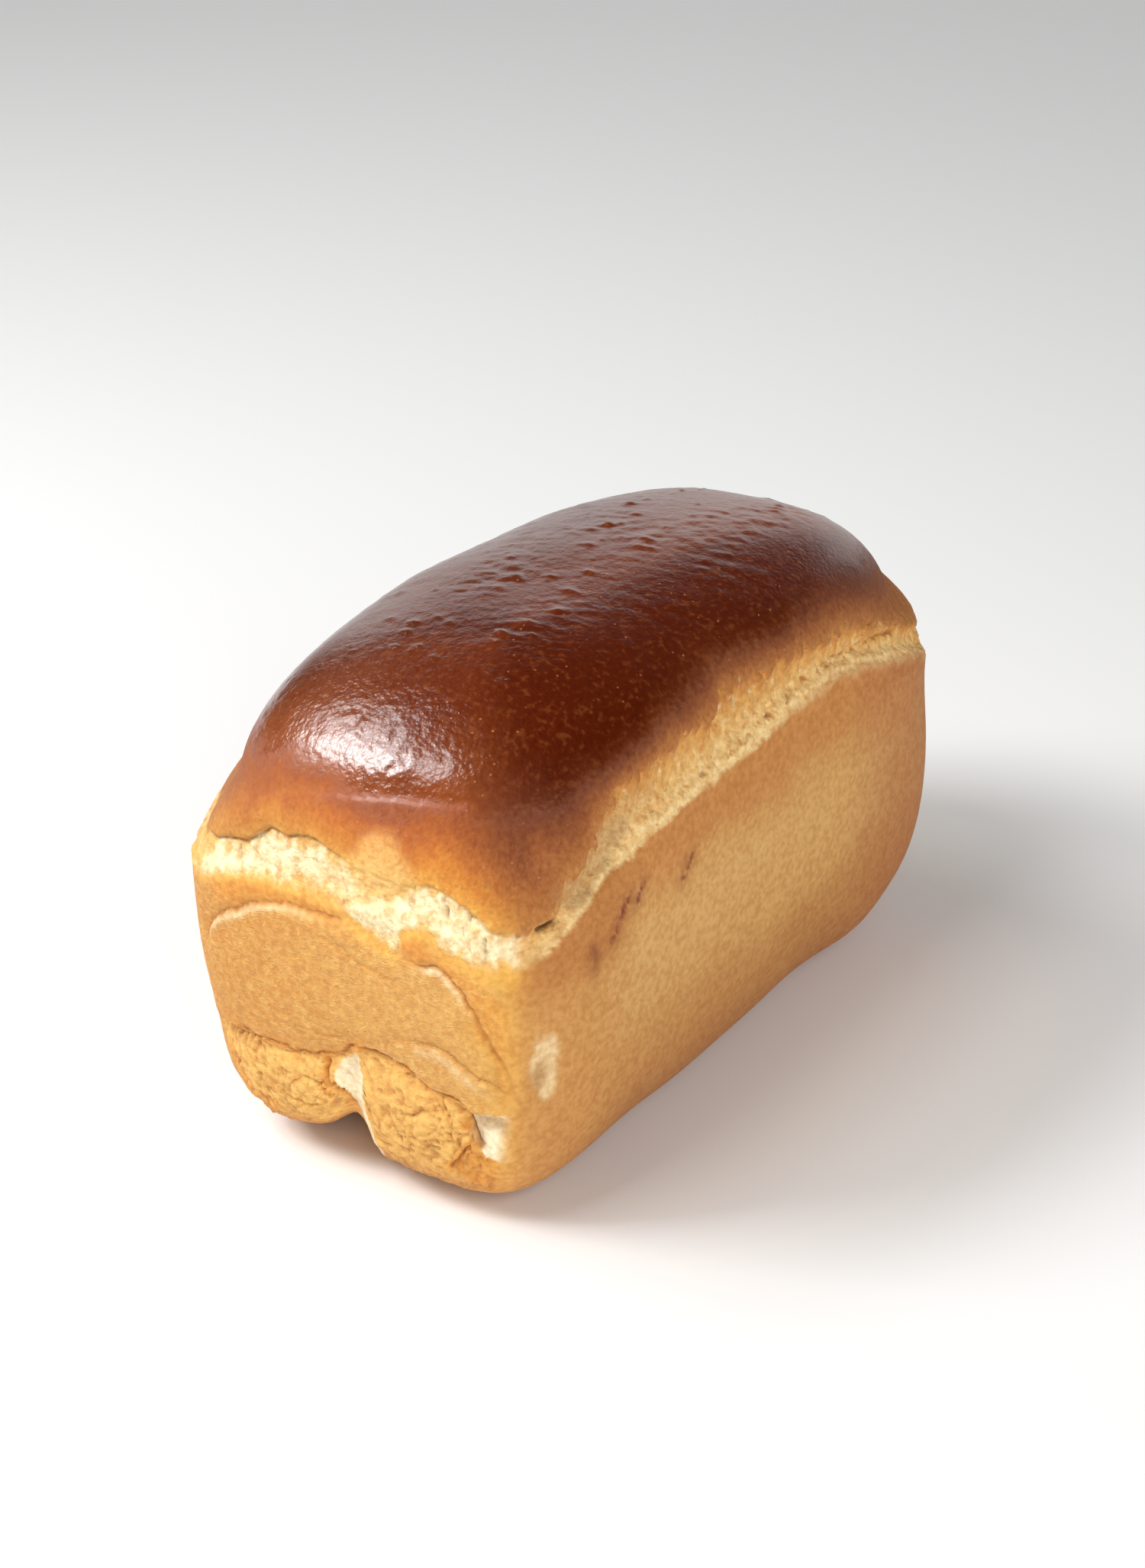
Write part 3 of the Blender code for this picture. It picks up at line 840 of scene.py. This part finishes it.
# On the near long wall: reddish scorch marks as lines (x, z), a scuff with a browner core, and
# hollows in the torn band, greyed with painted shade.
SCORCHES = (
    ((-51.6, 80.2), (-53, 78), (-54.3, 75.6)),
    ((-56.5, 80), (-58.6, 77), (-60, 75.4), (-62, 72.2), (-64.4, 70)),
    ((-59, 78.4), (-60.6, 74.4)),
    ((-69.6, 71.4), (-70.5, 66.5)),
    ((-31, 77.8), (-33, 74.8), (-35.2, 72.2)),
)
SCORCH_WIDTH = 0.8
SCORCH_HALO = 0.4
SCORCH_HALO_WIDTH = 3.0
SCUFF = (
    (-88.3, 54.6), (-85.5, 55.2), (-82.4, 53), (-82.2, 46.6), (-83.4, 38.8), (-85.8, 37.4),
    (-88.4, 42), (-89.6, 48.2),
)
SCUFF_DEPTH = 0.35
SCUFF_CORE = ((-87.2, 44.8), (1.9, 4.2))
SHADED_HOLLOWS = (
    ((-58.5, 95.6), (8, 3.6), 0.8), ((-66, 91.8), (7, 3.6), 0.8), ((-74, 87.8), (6.5, 3.8), 0.9),
    ((-47, 99), (9, 3), 0.35),
)
# Over how many millimetres the crust above the tear browns, along a side and across an end.
SIDE_FADE = (
    (-92, 27), (-80, 21), (-66, 14), (-54, 8.5), (-40, 9), (-20, 12), (5, 9.8), (22, 9.5),
    (40, 12), (62, 15), (74, 19), (92, 17),
)
END_FADE = (
    (-48, 24), (-38, 19), (-28, 15), (-16, 13.5), (0, 14), (20, 16), (30, 20), (38, 26), (48, 30),
)


def outlined(places, outlines):
    """The strongest of some softly edged outlines at each place, from 0 to 1."""
    found = np.zeros(len(places))
    for outline, strength, soft in outlines:
        found = np.maximum(found, strength * smooth(within(places, outline) / soft + 0.4))
    return found


def end_tones(places, frayed):
    """Where an end is pale crumb, smooth pale dough, painted shade and orange, at places (y, z)."""
    crumb = outlined(places + frayed, PALE_CRUMB)
    dough = outlined(places, [(shape[0], 1.0, 0.7) for shape in (CHANNEL, POCKET, PLUG)])
    orange = outlined(places + 0.5 * frayed, ORANGE_DOUGH)
    # Beside some creases: a pale edge, partly pale dough and partly painted light on a rounded lip.
    for name, (edge, offset, width, strength, stop) in PALE_AND_LIT_EDGES.items():
        distance, side, share = along_line(places, CREASES[name][0])
        fade = smooth(np.minimum(share / 0.15, (stop - share) / 0.45)) * (side == edge)
        dough = np.maximum(dough, strength * fade * hump((distance - offset) / width))
    for name in CREVICES:
        distance = along_line(places, CREASES[name][0])[0]
        orange = np.maximum(orange, CREVICE_ORANGE * hump(distance / CREVICE_WIDTH))
    grey_shade = np.zeros(len(places))
    for middle, half, strength in SHADED_GREY_DOUGH:
        grey_shade = np.maximum(grey_shade, strength * oval(places, middle, half))
    return crumb, dough, grey_shade, orange


def side_tones(point, end):
    """Scorch marks, the scuff and its core, and the hollows' painted shade, on the near long wall.
    """
    flat = np.stack([point[:, 0], point[:, 2]], 1)
    near = (point[:, 1] < 0) & (end < 0.7)
    wavy = flat + 0.6 * sway(point, (1.9, 30), (1.7, 31))
    scorch = np.zeros(len(point))
    for line in SCORCHES:
        distance, _, share = along_line(wavy, line)
        ends = smooth(np.minimum(share + 0.25, 1.25 - share) / 0.4)
        scorch = np.maximum(scorch, hump(distance / SCORCH_WIDTH) * ends)
        scorch = np.maximum(scorch, SCORCH_HALO * hump(distance / SCORCH_HALO_WIDTH) * ends)
    scorch *= smooth(grain(point, 1.3, 32) + 1.0)
    scuff = smooth(within(wavy, SCUFF) / 1.6 + 0.3)
    core = oval(wavy, *SCUFF_CORE)
    hollow = np.zeros(len(point))
    for middle, half, strength in SHADED_HOLLOWS:
        hollow = np.maximum(hollow, strength * smooth(1.2 * oval(wavy, middle, half)))
    return [np.where(near, values, 0) for values in (scorch, scuff, core, hollow)]


def positions(bm):
    return np.array([v.co[:] for v in bm.verts])


def place(bm, points):
    for vert, point in zip(bm.verts, points):
        vert.co = point
    bm.normal_update()


# Which way a face of the wall, of an end and of the crown looks, and how far the crown and the
# near shoulder reach.
WALL_FACING = 0.8
END_FACING = 0.6
CROWN_FACING = 0.88
CROWN_HALF_LENGTH = 88
RIDGE_HALF_WIDTH = 26
RIDGE_FROM = -64
SHOULDER_UP_TO = -66
SHOULDER_HALF_WIDTH = 36
SHOULDER_FINE_FROM = 102
# Parts of the near long wall that are scorched and scuffed: two corners (x, z) of each.
SCORCHED = ((-68, 62), (-28, 84))
SCUFFED = ((-120, 34), (-78, 60))
# How near a crease, the crust's edge or the pores the cells are finest, and up to where.
CREASE_CELLS = 1.4
EDGE_CELLS = 0.9
PORE_CELLS = 1.0
FINEST_UP_TO = 60


def boxed(x, z, corners):
    (left, foot), (right, head) = corners
    return (x > left) & (x < right) & (z > foot) & (z < head)


def halve(bm, level):
    """Halves the cells that carry relief: broadly first, then only where it is finer."""
    cube = positions(bm)
    place(bm, plain_loaf(cube))
    middle = np.array([f.calc_center_median()[:] for f in bm.faces])
    normal = np.array([f.normal[:] for f in bm.faces])
    end = end_share(normal)
    low, high = ragged_lines(middle, end)
    x, y, z = middle.T
    upright = np.abs(normal[:, 2]) < WALL_FACING
    on_end = (np.abs(normal[:, 0]) > END_FACING) & (z < high)
    crown = (normal[:, 2] > CROWN_FACING) & (np.abs(x) < CROWN_HALF_LENGTH)
    shoulder = (x < SHOULDER_UP_TO) & (z > high) & (np.abs(y) < SHOULDER_HALF_WIDTH)
    near_wall = (y < 0) & upright
    scorched = near_wall & boxed(x, z, SCORCHED)
    scuffed = near_wall & boxed(x, z, SCUFFED)
    if level == 1:
        torn = (z > low - 5) & (z < high + 6) & upright
        wanted = torn | on_end | crown | shoulder | scorched | scuffed
    elif level == 2:
        torn = (z > low - 1.5) & (z < high + 2.2) & upright
        ridge = crown & (np.abs(y) < RIDGE_HALF_WIDTH) & (x > RIDGE_FROM)
        shoulder &= z > SHOULDER_FINE_FROM
        wanted = torn | (on_end & (x < 0)) | ridge | shoulder | scorched
    else:
        places = np.where((x < 0)[:, None], middle[:, 1:], far_places(middle[:, 1:]))
        near_crease = np.zeros(len(middle), bool)
        for line, *_ in CREASES.values():
            near_crease |= along_line(places, line)[0] < CREASE_CELLS
        near_crease &= on_end & (x < 0) & (z > 10)
        edge = (np.abs(z - high) < EDGE_CELLS) & upright & (x < FINEST_UP_TO)
        in_view = ((y < 0) & (x < FINEST_UP_TO)) | ((end > 0.5) & (x < 0))
        pores = along_line(np.stack([x, z], 1), PORE_LINE, 2)[0] < PORE_CELLS
        wanted = near_crease | ((edge | (pores & upright & (y < 0) & (end < 0.5))) & in_view)
    edges = {e for f, halved in zip(bm.faces, wanted) if halved for e in f.edges}
    place(bm, cube)
    bmesh.ops.subdivide_edges(bm, edges=list(edges), cuts=1, use_grid_fill=True)


# How much the creases waver, broadly and finely, how far the crumb's edges fray, and how strongly
# the tongue of crumb shows.
WAVER = (0.5, 0.18)
FRAY = 2.3
TONGUE_SHARE = 0.75


def loaf_mesh():
    """The loaf's surface, with what its crust's colours need to know stored on its points."""
    bm = cube_grid(CELLS)
    for level in (1, 2, 3):
        halve(bm, level)
    point = plain_loaf(positions(bm))
    place(bm, point)
    z = point[:, 2]
    normal = np.array([v.normal[:] for v in bm.verts])
    end = end_share(normal)
    low, high = ragged_lines(point, end)
    is_near = point[:, 0] < 0
    places = np.where(is_near[:, None], point[:, 1:], far_places(point[:, 1:]))
    places[:, 1] += notch_lift(point)
    jitter = WAVER[0] * sway(point, (5, 34), (4, 35))
    jitter += WAVER[1] * sway(point, (1.2, 36), (1.1, 37))
    frayed = FRAY * sway(point, (2.8, 43), ((2, 2, 3.5), 44))
    on_end = smooth((end - 0.35) / 0.4) * smooth((1 - np.abs(normal[:, 2])) / 0.3)
    folds = on_end * smooth((high - 4 - z) / 5)
    lobes = lobe_share(places) * folds
    relief, shade = end_relief(places, jitter)
    relief *= np.where(is_near, 1, FAR_RELIEF) * folds
    pale, dough, grey_shade, orange = end_tones(places + jitter, frayed)
    wrinkles = lobe_wrinkles(point, places, lobes) * folds * (1 - 0.85 * dough)
    crumb, crack, hole = torn_crumb(point, end, low, high)
    above = smooth((z - high) / 5)
    skin, blisters = dome_skin(point, normal, above)
    fold, fold_mask = raised_fold(point, normal)
    outline, tongue_height, tongue_slope = TONGUE
    tongue = smooth(within(places + jitter, outline) / tongue_slope + 0.35)
    tongue = TONGUE_SHARE * tongue * on_end
    scorch, scuff, core, hollow = side_tones(point, end)
    pores = pore_row(point, end)
    # Painted shade in a thin broken line along the crust's edge on the long sides, under its
    # flakes.
    flake = hump((z - high - 0.3) / 0.7)
    flake = flake * smooth(1.6 * grain(point, (4, 4, 9), 45) + 0.1) * (1 - end)
    relief += wrinkles + tear_relief(point, end, low, high) + crumb + skin + fold
    relief += unevenness(point) - SCUFF_DEPTH * scuff + tongue_height * tongue
    relief -= HAIR + CROWN_ALLOWANCE * smooth((z - CROWN_FROM) / CROWN_BY)
    share = (z - low) / (high - low)
    along, across = wall_places(point)
    pull = shreds(point, 1.5, 40)
    soft = 0.1 + 0.45 * smooth((along - 5) / 30) * (1 - end)
    soft = soft + 0.25 * end * smooth((across + 10) / 10)
    foot = 0.035 * grain(point, 3.0, 41) + 0.02 * grain(point, 1.2, 42) + 0.5 * soft
    corner = 4 * end * (1 - end)
    band = smooth((share + foot) / (soft + 0.45 * corner))
    side_top = smooth((high - z + 0.9 + 0.8 * pull) / 1.3)
    end_top = smooth((high - z + 0.6) / 0.7)
    band *= side_top * (1 - end) + np.maximum(end_top, 0.85 * tongue) * end
    fade = heights(along, SIDE_FADE) * (1 - end) + heights(across, END_FADE) * end
    edge = tear_lines(point, end)[1]
    bake = (z - edge - 0.3 * (high - edge)) / fade - 0.35 * tongue * end
    stored = {
        "torn": np.maximum(band, dough * folds),
        "share": np.clip(share, -0.5, 1.5),
        "bake": np.clip(bake, -0.5, 3),
        "end": end,
        "cream": np.maximum(pale * smooth((end - 0.12) / 0.3), dough * folds),
        # Painted shade: along the creases, in the crack, the furrows and the pores, and under the
        # flakes.
        "shade": np.maximum(np.maximum(0.8 * shade * folds, crack), np.maximum(pores, 0.6 * flake)),
        "hole": hole,
        "dough": dough * folds,
        "lobes": lobes,
        # The depth of the lobes' wrinkles, by which painted shade darkens their valleys.
        "crease": np.clip(wrinkles, -1.6, 0.4),
        "orange": orange * folds,
        # Painted shade, greyer, in the pocket, the channel and the torn band's hollows.
        "grey_shade": np.maximum(grey_shade * folds, hollow * band),
        "scorch": scorch,
        "scuff": scuff,
        "core": core,
        "blister": blisters,
        "fold": fold_mask,
    }
    point = point + normal * relief[:, None]
    point[:, 2] += notch_lift(point)
    point[:, 2] = np.where(point[:, 2] < FOOT_SNAP, 0, point[:, 2])
    point[:, :2] -= (point[:, :2].max(0) + point[:, :2].min(0)) / 2
    place(bm, point * MM)
    mesh = bpy.data.meshes.new("loaf_crust")
    bm.to_mesh(mesh)
    bm.free()
    for name, values in stored.items():
        mesh.attributes.new(name, "FLOAT", "POINT").data.foreach_set("value", values)
    mesh.shade_smooth()
    return mesh


def srgb(red, green, blue):
    """A colour as the eye names it, from 0 to 255, as the shader wants it."""
    scaled = [c / 255 for c in (red, green, blue)]
    linear = [c / 12.92 if c < 0.04045 else ((c + 0.055) / 1.055) ** 2.4 for c in scaled]
    return (*linear, 1.0)


def stops(*rows):
    """Colours along a ramp: each row gives a value, then its red, green and blue."""
    return [(at, srgb(*colour)) for at, *colour in rows]


# Colours of the dome, on the sides and on the ends, against how far it baked; of the walls,
# against their height in metres; and of the sides' crumb, against its place in the torn band.
SIDE_BAKE = stops(
    (-0.1, 206, 150, 84),
    (0.0, 190, 128, 68),
    (0.2, 174, 108, 54),
    (0.45, 144, 80, 40),
    (0.7, 118, 57, 24),
    (0.95, 98, 38, 8),
    (1.25, 88, 27, 1),
)
END_BAKE = stops(
    (-0.1, 238, 186, 92),
    (0.0, 226, 162, 68),
    (0.3, 207, 131, 42),
    (0.6, 186, 103, 29),
    (0.9, 166, 84, 25),
    (1.25, 146, 72, 26),
    (1.7, 124, 56, 16),
    (2.3, 108, 42, 8),
)
WALL_COLOURS = stops(
    (0.0, 176, 118, 66),
    (0.014, 180, 122, 68),
    (0.028, 190, 133, 72),
    (0.038, 197, 143, 80),
    (0.046, 208, 158, 93),
    (0.064, 213, 165, 99),
    (0.073, 208, 155, 88),
    (0.08, 200, 138, 74),
    (0.088, 200, 135, 70),
)
CRUMB_COLOURS = stops(
    (0.0, 245, 212, 152),
    (0.3, 244, 205, 140),
    (0.6, 228, 178, 106),
    (0.85, 214, 156, 84),
    (1.0, 190, 126, 62),
)
# Of the dome: its hidden half, its speckle, its blisters, the painted sheen of its raised fold and
# its painted glints.
DOME_BEHIND = srgb(132, 72, 38)
DOME_SPECKLE = srgb(134, 70, 32)
BLISTER_BROWN = srgb(92, 42, 18)
FOLD_SHEEN_PINK = srgb(176, 104, 76)
GLINT_PINK = srgb(196, 124, 88)
# Of the walls: the far part, the near corner and its hot spot; then the ends' dough and marks,
# with painted shade for the lobes' wrinkles.
WALL_FAR = srgb(186, 120, 69)
WALL_NEAR = srgb(200, 142, 76)
CORNER_HOT = srgb(184, 118, 56)
FLAP_RIGHT = srgb(216, 160, 82)
FLAP_LEFT = srgb(208, 146, 66)
LOBE_GOLD = srgb(234, 182, 98)
END_FOOT = srgb(204, 144, 78)
END_HEAD = srgb(228, 170, 88)
BAKED_ORANGE = srgb(222, 148, 58)
FRINGE_GOLD = srgb(240, 182, 82)
CREASE_SHADE_BROWN = srgb(196, 126, 58)
STROKE_PALE = srgb(238, 196, 126)
SCORCH_RED = srgb(124, 54, 30)
SCUFF_PALE = srgb(232, 204, 156)
SCUFF_BROWN = srgb(180, 134, 80)
# Of the crumb and the smooth dough, and of the painted light and shade laid on them.
END_CRUMB = srgb(236, 189, 114)
CREAM_CRUMB = srgb(250, 234, 190)
CRUMB_SHADE_GOLD = srgb(212, 150, 72)
CRUMB_HIGHLIGHT = srgb(252, 236, 190)
PIT_SHADE_BROWN = srgb(176, 118, 60)
PALE_DOUGH = srgb(250, 235, 206)
SHADE_GREY = srgb(190, 152, 106)
HOLE_SHADE = srgb(116, 84, 48)
PAINTED_SHADE_BROWN = srgb(158, 94, 38)
GRAIN_DARK = (0.9, 0.79, 0.66, 1.0)
GRAIN_LIGHT = (1.1, 1.14, 1.15, 1.0)
GLINTS_PER_METRE = 330.0
PITS_PER_METRE = 420.0
WASH_ROUGHNESS = 0.29
WALL_ROUGHNESS = 0.85
COAT_SHARE = 0.7
COAT_ROUGHNESS = 0.24
SPECULAR_LEVEL = 0.8
BUMP_STRENGTH = 0.55
BUMP_DISTANCE = 0.0005


def crust_material():
    """One crust for the whole loaf; what lies where is stored on the mesh's points."""
    material = bpy.data.materials.new("baked crust")
    material.use_nodes = True
    tree = material.node_tree
    nodes, links = tree.nodes, tree.links
    shader = nodes["Principled BSDF"]

    def node(kind, **settings):
        made = nodes.new(kind)
        for key, value in settings.items():
            setattr(made, key, value)
        return made

    def fill(sockets, terms):
        for socket, term in zip(sockets, terms):
            if isinstance(term, (int, float, tuple)):
                socket.default_value = term
            else:
                links.new(term, socket)

    def attribute(name):
        return node("ShaderNodeAttribute", attribute_name=name).outputs["Fac"]

    def sums(operation, *terms):
        made = node("ShaderNodeMath", operation=operation)
        fill(made.inputs, terms)
        return made.outputs[0]

    def plus(first, second):
        return sums("ADD", first, second)

    def minus(first, second):
        return sums("SUBTRACT", first, second)

    def times(first, second):
        return sums("MULTIPLY", first, second)

    def swing(cloudy, height):
        """Noise turned to sway about zero."""
        return times(minus(cloudy, 0.5), height)

    def ranged(value, low, high, start=0.0, stop=1.0):
        """From start to stop while the value goes from low to high; places are in metres."""
        made = node("ShaderNodeMapRange", interpolation_type="SMOOTHSTEP")
        fill(made.inputs, (value, low, high, start, stop))
        return made.outputs["Result"]

    def mixed(share, first, second, blend="MIX"):
        made = node("ShaderNodeMix", data_type="RGBA", blend_type=blend)
        fill((made.inputs[0], made.inputs[6], made.inputs[7]), (share, first, second))
        return made.outputs[2]

    def painted(surface, *coats):
        """A surface with coats of colour laid over it, each where its share says."""
        for share, colour in coats:
            surface = mixed(share, surface, colour)
        return surface

    def ramp(value, colours):
        made = node("ShaderNodeValToRGB")
        first, last = colours[0][0], colours[-1][0]
        while len(made.color_ramp.elements) < len(colours):
            made.color_ramp.elements.new(0.5)
        for element, (at, colour) in zip(made.color_ramp.elements, colours):
            element.position = (at - first) / (last - first)
            element.color = colour
        links.new(sums("DIVIDE", minus(value, first), last - first), made.inputs[0])
        return made.outputs[0]

    place_of = node("ShaderNodeTexCoord").outputs["Object"]

    def texture(kind, per_metre, **values):
        """A texture on the loaf's own places, with its grains per metre along each axis."""
        mapping = node("ShaderNodeMapping")
        mapping.inputs["Scale"].default_value = per_metre
        links.new(place_of, mapping.inputs["Vector"])
        made = node(kind)
        for name, value in {"Scale": 1.0, **values}.items():
            made.inputs[name].default_value = value
        links.new(mapping.outputs[0], made.inputs["Vector"])
        return made

    def cloud(size_mm, detail=3.0, stretch=(1.0, 1.0, 1.0), distortion=0.0):
        per_metre = [1000.0 / (size_mm * s) for s in stretch]
        made = texture("ShaderNodeTexNoise", per_metre, Detail=detail, Distortion=distortion)
        return made.outputs["Fac"]

    def dots(per_metre):
        return texture("ShaderNodeTexVoronoi", [per_metre] * 3).outputs["Distance"]

    axes = node("ShaderNodeSeparateXYZ")
    links.new(place_of, axes.inputs[0])
    along, across, height = axes.outputs
    end = attribute("end")
    speckle = cloud(1.7, 1.5)
    mottle = cloud(4.0, 3.0)
    strands = cloud(3.0, 1.0, (1.0, 1.5, 0.7), 1.8)
    strokes = ranged(sums("ABSOLUTE", minus(strands, 0.5)), 0.0, 0.09, 1.0, 0.0)
    broad = cloud(24.0, 3.0)

    # Dome.
    bake = plus(attribute("bake"), swing(cloud(9.0), 0.07))
    bake = plus(bake, swing(cloud(1.3, 2.0), 0.42))
    bake = plus(bake, swing(cloud(4.5, 3.0), times(end, 0.5)))
    dome = mixed(ranged(end, 0.05, 0.95), ramp(bake, SIDE_BAKE), ramp(bake, END_BAKE))
    # Painted glints: fine pink dots of reflected light on the dome.
    glints = ranged(dots(GLINTS_PER_METRE), 0.05, 0.13, 0.7, 0.0)
    dome = painted(
        dome,
        (ranged(across, -0.012, 0.034, 0.0, 0.6), mixed(0.5, dome, DOME_BEHIND)),
        (ranged(speckle, 0.52, 0.74, 0.0, 0.4), DOME_SPECKLE),
        (times(attribute("blister"), 0.35), BLISTER_BROWN),
        # Painted sheen along the raised fold, where the gloss is turned down.
        (times(attribute("fold"), 0.4), FOLD_SHEEN_PINK),
        (times(glints, ranged(broad, 0.4, 0.54)), GLINT_PINK),
    )

    # Walls.
    share = attribute("share")
    lobes = attribute("lobes")
    hot = times(ranged(height, 0.06, 0.072), ranged(along, -0.05, -0.066))
    flap = painted(
        mixed(ranged(across, -0.036, 0.036), FLAP_RIGHT, FLAP_LEFT),
        (lobes, LOBE_GOLD),
        (ranged(height, 0.018, 0.008), END_FOOT),
        (ranged(height, 0.072, 0.078), END_HEAD),
        (attribute("orange"), BAKED_ORANGE),
    )
    fringe_foot = ranged(across, -0.05, -0.026, -1.0, -0.42)
    fringe = times(ranged(share, fringe_foot, 0.0), ranged(end, 0.12, 0.5))
    flap_share = times(ranged(end, 0.5, 0.8), ranged(height, 0.078, 0.07))
    flap_share = times(flap_share, ranged(lobes, 0.0, 0.6, 1.0, 0.4))
    wall = painted(
        ramp(plus(height, swing(broad, 0.02)), WALL_COLOURS),
        (ranged(along, 0.03, 0.075, 0.0, 0.75), WALL_FAR),
        (ranged(along, -0.046, -0.076, 0.0, 0.85), WALL_NEAR),
        (times(hot, 0.75), CORNER_HOT),
        (ranged(end, 0.3, 0.75), flap),
        (times(fringe, 0.8), FRINGE_GOLD),
        # Painted shade, browner, in the valleys of the lobes' wrinkles.
        (ranged(attribute("crease"), -0.4, -1.1, 0.0, 0.6), CREASE_SHADE_BROWN),
        (times(strokes, times(flap_share, 0.3)), STROKE_PALE),
        (attribute("scorch"), SCORCH_RED),
        (times(attribute("scuff"), 0.85), SCUFF_PALE),
        (times(attribute("core"), 0.85), SCUFF_BROWN),
    )

    # Torn crumb.
    cream = attribute("cream")
    dough = attribute("dough")
    lumpy = cloud(2.4, 4.0)
    end_crumb = mixed(cream, END_CRUMB, CREAM_CRUMB)
    crumb = mixed(ranged(end, 0.14, 0.45), ramp(share, CRUMB_COLOURS), end_crumb)
    pits = times(ranged(dots(PITS_PER_METRE), 0.16, 0.26, 1.0, 0.0), ranged(lumpy, 0.45, 0.6))
    crumb = painted(
        crumb,
        # Painted shade, golden, and painted highlight, white, on the crumb's lumps.
        (ranged(lumpy, 0.5, 0.66), mixed(0.5, crumb, CRUMB_SHADE_GOLD)),
        (ranged(lumpy, 0.42, 0.3, 0.0, 0.35), CRUMB_HIGHLIGHT),
        # Painted shade in the crumb's small pits.
        (times(pits, ranged(cream, 0.2, 0.8, 0.4, 0.0)), PIT_SHADE_BROWN),
        (times(dough, 0.65), PALE_DOUGH),
    )

    # Crust or crumb, and the painted shade laid on both.
    torn = attribute("torn")
    colour = painted(
        mixed(ranged(share, 0.8, 1.0), wall, dome),
        (torn, crumb),
        # Painted shade, greyer, in the pocket, the channel and the torn band's hollows.
        (times(attribute("grey_shade"), 0.75), SHADE_GREY),
        # Painted shade filling the hole at the near corner.
        (ranged(attribute("hole"), 0.1, 0.6, 0.0, 0.92), HOLE_SHADE),
        # Painted shade along the creases, the crack, the pores and the flakes' edges.
        (times(attribute("shade"), 0.65), PAINTED_SHADE_BROWN),
    )
    darker = mixed(1.0, colour, GRAIN_DARK, "MULTIPLY")
    lighter = mixed(1.0, colour, GRAIN_LIGHT, "MULTIPLY")
    grainy = plus(times(speckle, 0.75), times(mottle, 0.25))
    colour = mixed(ranged(grainy, 0.28, 0.7), darker, lighter)
    links.new(colour, shader.inputs["Base Color"])

    # Egg wash: glossy where the crust baked dark, and matt on the tear and along the fold.
    gloss = ranged(minus(bake, times(end, 0.45)), 0.35, 1.0)
    gloss = times(gloss, ranged(torn, 0.0, 0.5, 1.0, 0.0))
    gloss = times(gloss, ranged(attribute("fold"), 0.1, 0.7, 1.0, 0.45))
    roughness = ranged(gloss, 0.0, 1.0, WALL_ROUGHNESS, WASH_ROUGHNESS)
    links.new(roughness, shader.inputs["Roughness"])
    links.new(times(gloss, COAT_SHARE), shader.inputs["Coat Weight"])
    shader.inputs["Coat Roughness"].default_value = COAT_ROUGHNESS
    shader.inputs["Specular IOR Level"].default_value = SPECULAR_LEVEL

    # Grain too fine for the mesh.
    peel = times(cloud(1.1, 1.0), ranged(along, -0.062, -0.035, 1.0, 0.6))
    fine = plus(peel, times(strokes, times(flap_share, 0.6)))
    rough = plus(fine, times(lumpy, ranged(end, 0.1, 0.4, 0.7, 1.6)))
    roughened = times(torn, minus(1.0, times(dough, 0.8)))
    bump = node("ShaderNodeBump")
    bump.inputs["Strength"].default_value = BUMP_STRENGTH
    bump.inputs["Distance"].default_value = BUMP_DISTANCE
    links.new(plus(fine, times(rough, roughened)), bump.inputs["Height"])
    links.new(bump.outputs[0], shader.inputs["Normal"])
    return material


crust = loaf_mesh()
crust.materials.append(crust_material())
loaf = linked("bread_loaf", crust)
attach(loaf, "root")
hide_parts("loaf")
